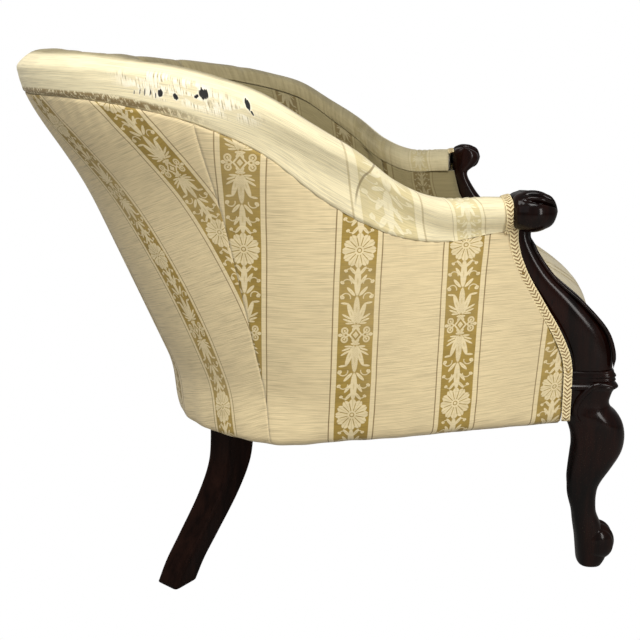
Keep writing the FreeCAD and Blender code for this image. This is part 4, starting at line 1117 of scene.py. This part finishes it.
def back_pad_place(u, v):
    """From the foot up the buttoned face, over the top and down the plain back."""
    station = blended(-pad_end, pad_end, u)
    outward = wall_frame(station)[1]
    top = wall_point(station, -roll_inside, pad_high)
    if v < 0.80 or v == 1:
        share = v / 0.80 if v < 1 else 0
        height = blended(pad_low, top.z, share)
        point = pad_face(station, height)
        edge = min(u, 1 - u)
        return point + outward * (tufted(point) * smooth(edge / 0.01) * smooth((1 - share) / 0.05))
    share = (v - 0.80) / 0.20
    behind_top = wall_point(station, pad_behind, pad_high)
    behind_foot = wall_point(station, pad_behind, wall_drop(station, pad_low, pad_setback))
    foot = pad_face(station, pad_low)
    if share < 0.2:
        return blended(top, behind_top, share / 0.2)
    if share < 0.8:
        return blended(behind_top, behind_foot, (share - 0.2) / 0.6)
    return blended(behind_foot, foot, (share - 0.8) / 0.2)


def back_pad_cloth(u, v):
    station = blended(-pad_end, pad_end, u)
    return crest_length(station) * 0.86 / inside_pitch * stripe_pitch, v * 0.42


back_pad = shaped("buttoned_back", 330, 84, back_pad_place, inside_cloth_painted_shade, back_pad_cloth,
                  closed=True, capped=True)
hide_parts("inside_back_pad")


# The buttons: fifteen metal moulds covered with the same cloth. Twine through the stuffing draws each
# down to the bottom of its tuft.
# Their cloth has the inside's darker tone: painted shade.
button_cloth_painted_shade = cover_material(
    "button_cover", (0.240, 0.198, 0.092), (0.155, 0.112, 0.035), (0.28, 0.233, 0.115),
    (0.13, 0.095, 0.035))[0]
button_radius = 0.0105
button_sunk = 0.0232
buttons_work = bmesh.new()
button_uv = buttons_work.loops.layers.uv.new("cloth")
for station, place in button_places:
    outward = wall_frame(station)[1]
    seat = place + outward * button_sunk
    turn = outward.to_track_quat("-Z", "Y").to_matrix().to_4x4()
    made = bmesh.ops.create_uvsphere(buttons_work, u_segments=24, v_segments=12,
                                     radius=button_radius)
    for vertex in made["verts"]:
        vertex.co.z = max(vertex.co.z, -0.0015) * 0.62
    bmesh.ops.transform(buttons_work, matrix=Matrix.Translation(seat) @ turn, verts=made["verts"])
bmesh.ops.remove_doubles(buttons_work, verts=buttons_work.verts, dist=0.00001)
bmesh.ops.recalc_face_normals(buttons_work, faces=buttons_work.faces)
for face in buttons_work.faces:
    for loop in face.loops:
        loop[button_uv].uv = (0.062 + loop.vert.co.y * 0.1, loop.vert.co.z)
buttons = added("covered_buttons", buttons_work, button_cloth_painted_shade)
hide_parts("back_buttons")


# The inside arms: on each side a plain pad of horsehair under the same cloth, in the same painted
# shade, from the pleat at the back's last button to the facing. It is tacked under the roll and to the
# seat frame.
arm_rows = 40


def arm_pad_end(share):
    return last_station(-0.05, lambda station: blended(wall_drop(station, pad_foot + 0.004, 0.05),
                                                       roll_foot, share))


arm_ends = [arm_pad_end(step / arm_rows) for step in range(arm_rows + 1)]


def arm_pad_place(side, u, v):
    """Round the pad: up its inner face, over its top and down behind."""
    if v < 0.72:
        share = v / 0.72
    elif v < 0.78:
        share = 1
    else:
        share = max(0, 1 - (v - 0.78) / 0.18)
    end = arm_ends[int(round(share * arm_rows))]
    station = side * blended(pad_end, end, u)
    outward = wall_frame(station)[1]
    top = wall_point(station, -roll_inside, pad_high)
    height = blended(pad_low, top.z, share)
    face = pad_face(station, height)
    back = wall_point(station, pad_behind, wall_drop(station, height, pad_setback))
    if v < 0.72:
        bulge = 0.004 * math.sin(math.pi * share) * math.sin(math.pi * u) ** 0.5
        edge = smooth(min(u, 1 - u) / 0.06)
        return face - outward * bulge + outward * 0.004 * (1 - edge)
    if v < 0.78:
        return blended(face, back, (v - 0.72) / 0.06)
    if v < 0.96:
        return back
    return blended(back, face, (v - 0.96) / 0.04)


def arm_pad_cloth(u, v):
    station = blended(pad_end, arm_ends[-1], u)
    return read_off(roll_knots, station), roll_girth - v * 0.3


def sided(place, side):
    """The place function for one side of the settee."""
    return lambda u, v: place(side, u, v)


for side, name in both_sides:
    arm_pad = shaped("arm_pad_" + name, 60, 100, sided(arm_pad_place, side), inside_cloth_painted_shade,
                     arm_pad_cloth, closed=True, capped=True)
    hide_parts("inside_arm_pad_" + name)


# The seat: one sprung and stuffed pad, crowned, with a rounded front that comes down to the border.
# Its cover is the same damask, tacked to the rails all round.
seat_cloth = cover_material(
    "seat_cover", (0.60, 0.52, 0.33), (0.34, 0.25, 0.08), (0.68, 0.60, 0.39),
    (0.18, 0.12, 0.045))[0]
rail_top = 0.325
seat_top = 0.458
seat_reach = 0.479
seat_bow = 0.061
seat_half = 0.3881
seat_crown = 0.132
seat_outline = []
for step in range(-130, 131):
    station = step / 10
    outward = wall_frame(station)[1]
    inward = Vector((-outward.x, -outward.y, 0)).normalized()
    seat_outline.append(pad_face(station, pad_foot + 0.02) + inward * 0.0012)
seat_outline = [Vector((max(-seat_half, min(seat_half, point.x)), point.y, 0))
                for point in seat_outline]
front_steps = 60
for step in range(1, front_steps + 1):
    across = blended(seat_half, -seat_half, step / front_steps)
    bow = seat_bow * (1 - (across / seat_half) ** 2)
    seat_outline.append(Vector((across, -(seat_reach - seat_bow) - bow, 0)))
seat_around = len(seat_outline)
seat_back = max(point.y for point in seat_outline)
# Each row: height above the rails, how far the sides and the front are drawn in.
seat_rows = [Vector(row) for row in (
    (0.004, 0.000, 0.000), (0.020, 0.000, -0.001), (0.045, 0.000, 0.004), (0.072, 0.001, 0.016),
    (0.098, 0.006, 0.050), (0.117, 0.020, 0.086), (0.128, 0.048, 0.132), (seat_crown, 0.090, 0.186))]


def seat_place(u, v):
    point = seat_outline[int(round(u * seat_around)) % seat_around]
    rise, inset, drawn = along_points(seat_rows, min(v / 0.6, 1))
    if v > 0.6:
        share = (v - 0.6) / 0.4
        rise = seat_crown + 0.001 * share
    across_share = (seat_half - inset) / seat_half
    deep_share = (seat_back - inset + seat_reach - drawn) / (seat_back + seat_reach)
    x = point.x * across_share
    y = seat_back - inset + (point.y - seat_back) * deep_share
    if v > 0.6:
        x = x * (1 - share)
        y = blended(y, -0.117, share)
    return Vector((x, y, rail_top + rise))


def seat_cloth_place(u, v):
    point = seat_place(u, v)
    return point.x / inside_pitch * stripe_pitch, point.y - (point.z - seat_top)


seat = shaped("sprung_seat", seat_around, 44, seat_place, seat_cloth, seat_cloth_place, closed=True)
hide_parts("seat_pad")


# The front border: a thin padded strip in the seat's cloth over the front rail. It is tacked along
# its top, and its lower edge is turned under the rail.
rail_reach = 0.405
border_depth = 0.013
border_half = 0.3857
frame_underside = 0.256
border_top = frame_underside + 0.0745
border_foot = frame_underside - 0.002


def border_place(u, v):
    across = blended(-border_half, border_half, u)
    bow = seat_bow * (1 - (across / border_half) ** 2)
    behind = rail_reach + bow + 0.0005
    if v > 0.5:
        return Vector((across, -behind, blended(border_top, border_foot, (v - 0.5) / 0.5)))
    height = blended(border_foot, border_top, v / 0.5)
    depth = border_depth * math.sin(math.pi * min(v / 0.5, 1)) ** 0.35
    return Vector((across, -behind - depth * 0.98, height))


def border_cloth(u, v):
    return (blended(-border_half, border_half, u) / inside_pitch * stripe_pitch,
            -0.26 - (1 - min(v / 0.5, 1)) * 0.09)


border = shaped("front_border", 120, 40, border_place, seat_cloth, border_cloth,
                closed=True, capped=True)
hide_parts("seat_front_border")


# Front legs: cabriole, carved from solid dark mahogany and French polished. Three mouldings make the
# collar, a raised edge frames the knee like a letter C, and the foot ends in a ridged scroll toe.
def polished(name, dark, red, gloss, coat):
    """French polished wood: red shows where the light comes through the polish."""
    material, tree, shader = material_of(name)
    place = coordinates(tree, "Object")
    grain = noise(place, (60, 60, 7), 5, 0.6)
    figure = noise(place, (9, 9, 4), 3)
    pores = noise(place, (700, 700, 60), 2)
    base = coloured((grain * 0.5 + figure * 0.5).step(0.36, 0.68), dark, red)
    base = coloured(pores.inside(0.36, 0.05) * 0.6, base, scaled(dark, 0.4))
    tree.links.new(base.socket, shader.inputs["Base Color"])
    rough = noise(place, (35, 35, 35), 3).step(0.3, 0.8, gloss, gloss + 0.14)
    tree.links.new(rough.socket, shader.inputs["Roughness"])
    shader.inputs["Specular IOR Level"].default_value = 0.02
    shader.inputs["Coat Weight"].default_value = coat
    shader.inputs["Coat Roughness"].default_value = 0.14
    raised(tree, shader, grain * 0.5 + pores * 0.5, 0.00025, 0.35)
    return material


mahogany = polished("carved_hardwood", (0.0012, 0.0006, 0.0005), (0.0150, 0.0036, 0.0020), 0.20, 0.34)


def rounded_place(angle, square):
    """A point of a rounded square of half width 1; a higher power is squarer."""
    c, s = math.cos(angle), math.sin(angle)
    reach = (abs(c) ** square + abs(s) ** square) ** (-1 / square)
    return c * reach, s * reach


leg_height = 0.3325
leg_back_y = 0.3705
leg_deep = 0.097
leg_middle = 0.416
leg_wide = 0.060
toe_half = 0.029
toe_forward = 0.0715
toe_height = 0.0400
# Rows of height share, front and back as shares of the depth, and width share.
leg_rows = [Vector(row) for row in (
    (1.000, 0.784, 0.000, 1.00), (0.976, 0.800, 0.000, 1.00), (0.952, 0.804, 0.000, 1.00),
    (0.925, 0.820, 0.000, 1.02), (0.889, 0.785, 0.000, 1.00), (0.844, 0.765, 0.000, 0.98),
    (0.808, 0.820, 0.010, 1.02), (0.778, 0.925, 0.040, 1.08), (0.733, 1.015, 0.140, 1.12),
    (0.676, 1.058, 0.215, 1.10), (0.619, 1.050, 0.240, 1.04), (0.571, 1.000, 0.230, 0.98),
    (0.505, 0.878, 0.212, 0.88), (0.450, 0.766, 0.203, 0.78), (0.408, 0.704, 0.215, 0.70),
    (0.366, 0.684, 0.226, 0.66), (0.327, 0.684, 0.257, 0.66), (0.276, 0.705, 0.308, 0.70),
    (0.210, 0.800, 0.345, 0.78), (0.135, 0.890, 0.392, 0.84), (0.060, 0.915, 0.425, 0.84),
    (0.012, 0.850, 0.450, 0.76), (0.004, 0.810, 0.490, 0.66))]
collar_beads = ((0.3250, 0.0022, 0.0022), (0.3185, 0.0020, 0.0016), (0.3080, 0.0045, 0.0042))


def leg_place(side, u, v):
    row = along_points(leg_rows, u)
    height = row.x * leg_height
    bead = sum(rise * hump(height - middle, wide) for middle, rise, wide in collar_beads)
    square = blended(6.0, 2.6, smooth((leg_height - height) / 0.075))
    c, s = rounded_place(2 * math.pi * v, square)
    half_deep = (row.y - row.z) * leg_deep / 2
    centre = leg_back_y + (row.y + row.z) * leg_deep / 2
    forward = centre + s * (half_deep + bead * 0.5) + (bead * 0.5 if s > 0 else 0)
    half = row.w * leg_wide / 2 + bead * 0.7
    return Vector((side * (leg_middle + c * half), -forward, height))


def toe_place(side, u, v):
    """The scroll toe: a drum across the foot with ridges round it."""
    across = blended(-1, 1, u)
    ridge = abs(math.sin(across * math.pi * 2.0)) ** 0.8
    rim = math.sqrt(max(0, 1 - abs(across) ** 3.2))
    radius = rim * (0.84 + 0.16 * ridge)
    if u <= 0 or u >= 1:
        radius = 0
    turn = 2 * math.pi * v
    forward = leg_back_y + toe_forward + 0.0285 * radius * math.cos(turn)
    height = toe_height + 0.0320 * radius * math.sin(turn)
    narrow = 1 - 0.25 * smooth((0.03 - height) / 0.03)
    return Vector((side * (leg_middle + across * toe_half * narrow), -forward, max(height, 0)))


rightwards = Vector((1, 0, 0))
# The raised edge on the knee, from the collar round the front, as depth and height.
knee_edge = [Vector((0, forward, height)) for forward, height in (
    (0.4460, 0.3085), (0.4300, 0.3125), (0.4160, 0.3110), (0.4040, 0.3020), (0.3940, 0.2890),
    (0.3890, 0.2750), (0.3910, 0.2620), (0.4000, 0.2510))]


def path_ways(path, share, facing_way):
    """The directions across a smooth path and out of it, at a share of its way."""
    ahead = along_points(path, min(share + 0.01, 1)) - along_points(path, max(share - 0.01, 0))
    across = ahead.cross(facing_way).normalized()
    return across, across.cross(ahead).normalized()


def rod_along(name, path, radius_at, facing_way, material, sides=14, steps=60):
    """A tapering round moulding along a smooth path."""
    def place(u, v):
        across, out = path_ways(path, u, facing_way)
        turn = 2 * math.pi * v
        return along_points(path, u) + (across * math.cos(turn) + out * math.sin(turn)) * radius_at(u)
    return shaped(name, steps, sides, place, material, closed=True)


def joined(name, pieces):
    """Several worked meshes as one piece."""
    work = bmesh.new()
    for piece in pieces:
        work.from_mesh(piece.data)
    material = pieces[0].data.materials[0]
    for piece in pieces:
        mesh = piece.data
        bpy.data.objects.remove(piece)
        bpy.data.meshes.remove(mesh)
    return added(name, work, material)


for side, name in both_sides:
    shank = shaped("leg_shank", 210, 56, sided(leg_place, side), mahogany, closed=True,
                   capped=True)
    toe = shaped("leg_toe", 48, 48, sided(toe_place, side), mahogany, closed=True)
    edges = []
    for face in (1, -1):
        outer = side * (leg_middle + face * leg_wide * 0.50)
        path = [Vector((outer, -point.y, point.z)) for point in knee_edge]
        edges.append(rod_along("leg_edge", path,
                               lambda share: 0.0052 * math.sin(math.pi * (0.12 + 0.88 * share)) ** 0.6
                               if 0 < share < 1 else 0, rightwards, mahogany))
    leg = joined("cabriole_leg_" + name, [shank, toe] + edges)
    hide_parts("front_leg_" + name)


# Arm facings: serpentine posts with a bead along the front edge and a groove by the cover. Each ends
# in a knuckle scroll, carved with grooves over its top that part it into fingers.
facing_inner = 0.389
facing_thick = 0.055
knuckle_radius = 0.0287
knuckle_middle = 0.4445
post_rear = [facing_place(forward, up) for forward, up in (
    (0.565, 0.000), (0.538, 0.096), (0.446, 0.232), (0.315, 0.380), (0.163, 0.557),
    (0.085, 0.712), (0.082, 0.800), (0.075, 0.870), (0.072, 0.925), (0.105, 0.960), (0.170, 0.975))]
post_front = [facing_place(forward, up) for forward, up in (
    (0.989, 0.000), (0.975, 0.120), (0.900, 0.245), (0.700, 0.395), (0.470, 0.530),
    (0.321, 0.664), (0.262, 0.760), (0.335, 0.815), (0.395, 0.880), (0.370, 0.935), (0.270, 0.972))]


def post_place(side, u, v):
    rear = along_points(post_rear, u)
    front = along_points(post_front, u)
    c, s = rounded_place(2 * math.pi * v, 3.4)
    share = 0.5 + 0.5 * s
    out = 0.5 + 0.5 * c
    point = rear + (front - rear) * share
    crown = 0.0035 * math.sin(math.pi * share)
    groove = 0.0028 * hump(share - 0.20, 0.035)
    valley = 0.0022 * hump(share - 0.88, 0.03)
    fade = smooth(u / 0.04) * (1 - smooth((u - 0.66) / 0.08))
    x = facing_inner + facing_thick * (0.04 + 0.92 * out)
    if c > 0.5:
        x = x + crown - (groove + valley) * fade
    return Vector((side * x, point.y, point.z))


def knuckle_place(side, u, v):
    """The scroll head, turned about a level line that runs front to back."""
    reach = u if u < 0.75 else 0.5 * u + 0.375 + 0.125 * math.sin((u - 0.75) * 2 * math.pi)
    forward = blended(0.052, 0.444, reach)
    swell = along_points([Vector((radius, 0)) for radius in (
        0.0, 0.70, 0.90, 1.0, 1.02, 0.98, 0.86, 0.62, 0.0)], u).x
    turn = 2 * math.pi * v
    groove = 0
    for middle in (36, 60, 86, 114, 142):
        groove = max(groove, hump(math.degrees(turn) - middle - 16 * (0.6 - u), 5.2))
    fade = smooth((u - 0.22) / 0.30)
    radius = knuckle_radius * swell * (1 - (0.20 + 0.22 * u * u) * groove * fade)
    if u <= 0 or u >= 1:
        radius = 0
    middle = facing_place(forward, 0.886)
    return Vector((side * (knuckle_middle + radius * math.cos(turn)), middle.y,
                   middle.z + radius * 1.02 * math.sin(turn)))


for side, name in both_sides:
    post = shaped("facing_post", 180, 96, sided(post_place, side), mahogany, closed=True,
                  capped=True)
    knuckle = shaped("facing_knuckle", 60, 180, sided(knuckle_place, side), mahogany, closed=True)
    bead_path = [facing_place(forward, up, side * (facing_inner + facing_thick * 0.93))
                 for forward, up in ((0.975, 0.012), (0.962, 0.120), (0.885, 0.240), (0.690, 0.385),
                                     (0.460, 0.520), (0.310, 0.655), (0.250, 0.745))]
    bead = rod_along("facing_bead", bead_path,
                     lambda share: 0.0030 * min(1, 12 * share, 12 * (1 - share)), rightwards,
                     mahogany, steps=90)
    facing = joined("carved_facing_" + name, [post, knuckle, bead])
    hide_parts("arm_facing_" + name)


# Rear legs: square sabre legs of the same wood, stained and duller, with their edges eased. They
# are dowelled into the back corners of the seat frame.
rear_wood = polished("rear_leg_hardwood", (0.0030, 0.0015, 0.0012), (0.015, 0.0060, 0.0040), 0.36, 0.05)
rear_top = Vector((0.391, 0.137))
rear_splay = Vector((0.080, 0.084))
rear_turn = math.radians(37)
rear_leg_foot = 0.0435
rear_leg_wide = 0.053
sabre = [Vector(row) for row in ((1.26, 0.00), (1.00, 0.00), (0.80, 0.02), (0.64, 0.09),
                                 (0.46, 0.30), (0.26, 0.62), (0.12, 0.85), (0.00, 1.00))]


def rear_leg_place(side, u, v):
    height_share, splay = along_points(sabre, u)
    height = max(height_share * frame_underside, 0)
    half = blended(rear_leg_foot, rear_leg_wide, min(max(height_share, 0), 1)) / 2
    c, s = rounded_place(2 * math.pi * v, 9)
    across, deep = math.cos(rear_turn), math.sin(rear_turn)
    x = rear_top.x + splay * rear_splay.x + half * (c * across - s * deep)
    y = rear_top.y + splay * rear_splay.y + half * (c * deep + s * across)
    return Vector((side * x, y, height))


for side, name in both_sides:
    rear_leg = shaped("sabre_leg_" + name, 60, 72, sided(rear_leg_place, side), rear_wood,
                      closed=True, capped=True)
    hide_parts("rear_leg_" + name)


# Gimp: woven braid glued along the facing's rear edge and round the end of the roll, in cream with
# dark chevrons, and held by small brass pins.
gimp_material, gimp_tree, gimp_shader = material_of("braid")
gimp_u, gimp_v = parts_of(coordinates(gimp_tree, "UV"))[:2]
gimp_fold = gimp_v.size()
gimp_chevron = ((gimp_u + gimp_fold * 0.9) * (2 * math.pi / 0.0056)).math("SINE")
gimp_thread = ((gimp_u - gimp_fold * 0.9) * (2 * math.pi / 0.0028)).math("SINE")
gimp_dark = gimp_chevron.step(-0.1, 0.7) * gimp_fold.inside(0.0050, 0.0008)
gimp_colour = coloured(gimp_dark, (0.86, 0.72, 0.42), (0.24, 0.14, 0.045))
finished(gimp_tree, gimp_shader, gimp_colour, 0.7)
raised(gimp_tree, gimp_shader, gimp_chevron * 0.5 + gimp_thread * 0.5, 0.0006, 0.9)
gimp_width = 0.013
gimp_half_thick = 0.0011
facing_outer = 0.444


def gimp_path(side):
    path = []
    for step in range(13):
        out, up = roll_section(12.3, 0.46 * (12 - step) / 12)
        station = last_station(out, lambda here, up=up: up) - 0.03
        way = (Vector((out, up)) - roll_core).normalized()
        crest, outward, upward = wall_frame(station)
        point = wall_point(station, out + way.x * 0.0022, up + way.y * 0.0022)
        path.append((point, outward * way.x + upward * way.y))
    for step in range(1, 31):
        shares = along_points(facing_rear[2:9], 1 - step / 30)
        out = facing_outer + 0.0012
        path.append((facing_place(shares.y + 0.035, shares.z, out), rightwards))
    for up in (-0.14, -0.285):
        path.append((facing_place(0.600, up, facing_outer + 0.004), rightwards))
    return [(Vector((side * point.x, point.y, point.z)), Vector((side * way.x, way.y, way.z)))
            for point, way in path]


for side, name in both_sides:
    route = gimp_path(side)
    centres = [point for point, way in route]
    ways = [way for point, way in route]
    lengths = [0]
    for start, end in zip(centres, centres[1:]):
        lengths.append(lengths[-1] + dist(start, end))

    def gimp_place(u, v, centres=centres, ways=ways):
        way = along_points(ways, u).normalized()
        across, out = path_ways(centres, u, way)
        out = out if out.dot(way) > 0 else -out
        c, s = rounded_place(2 * math.pi * v, 3)
        return along_points(centres, u) + across * c * gimp_width / 2 + out * s * gimp_half_thick

    def gimp_cloth(u, v, lengths=lengths):
        c = rounded_place(2 * math.pi * v, 3)[0]
        return between(lengths, u * (len(lengths) - 1)), c * gimp_width / 2

    gimp = shaped("braid_" + name, 260, 24, gimp_place, gimp_material, gimp_cloth,
                  closed=True, capped=True)
    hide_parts("gimp_" + name)

pin_brass = spotted_metal("pin_brass", (0.50, 0.34, 0.12), (0.16, 0.09, 0.03),
                          300, 2, 0.4, 0.7, 0.4, 0.9)
repaint(pin_brass, "gimp_pins")
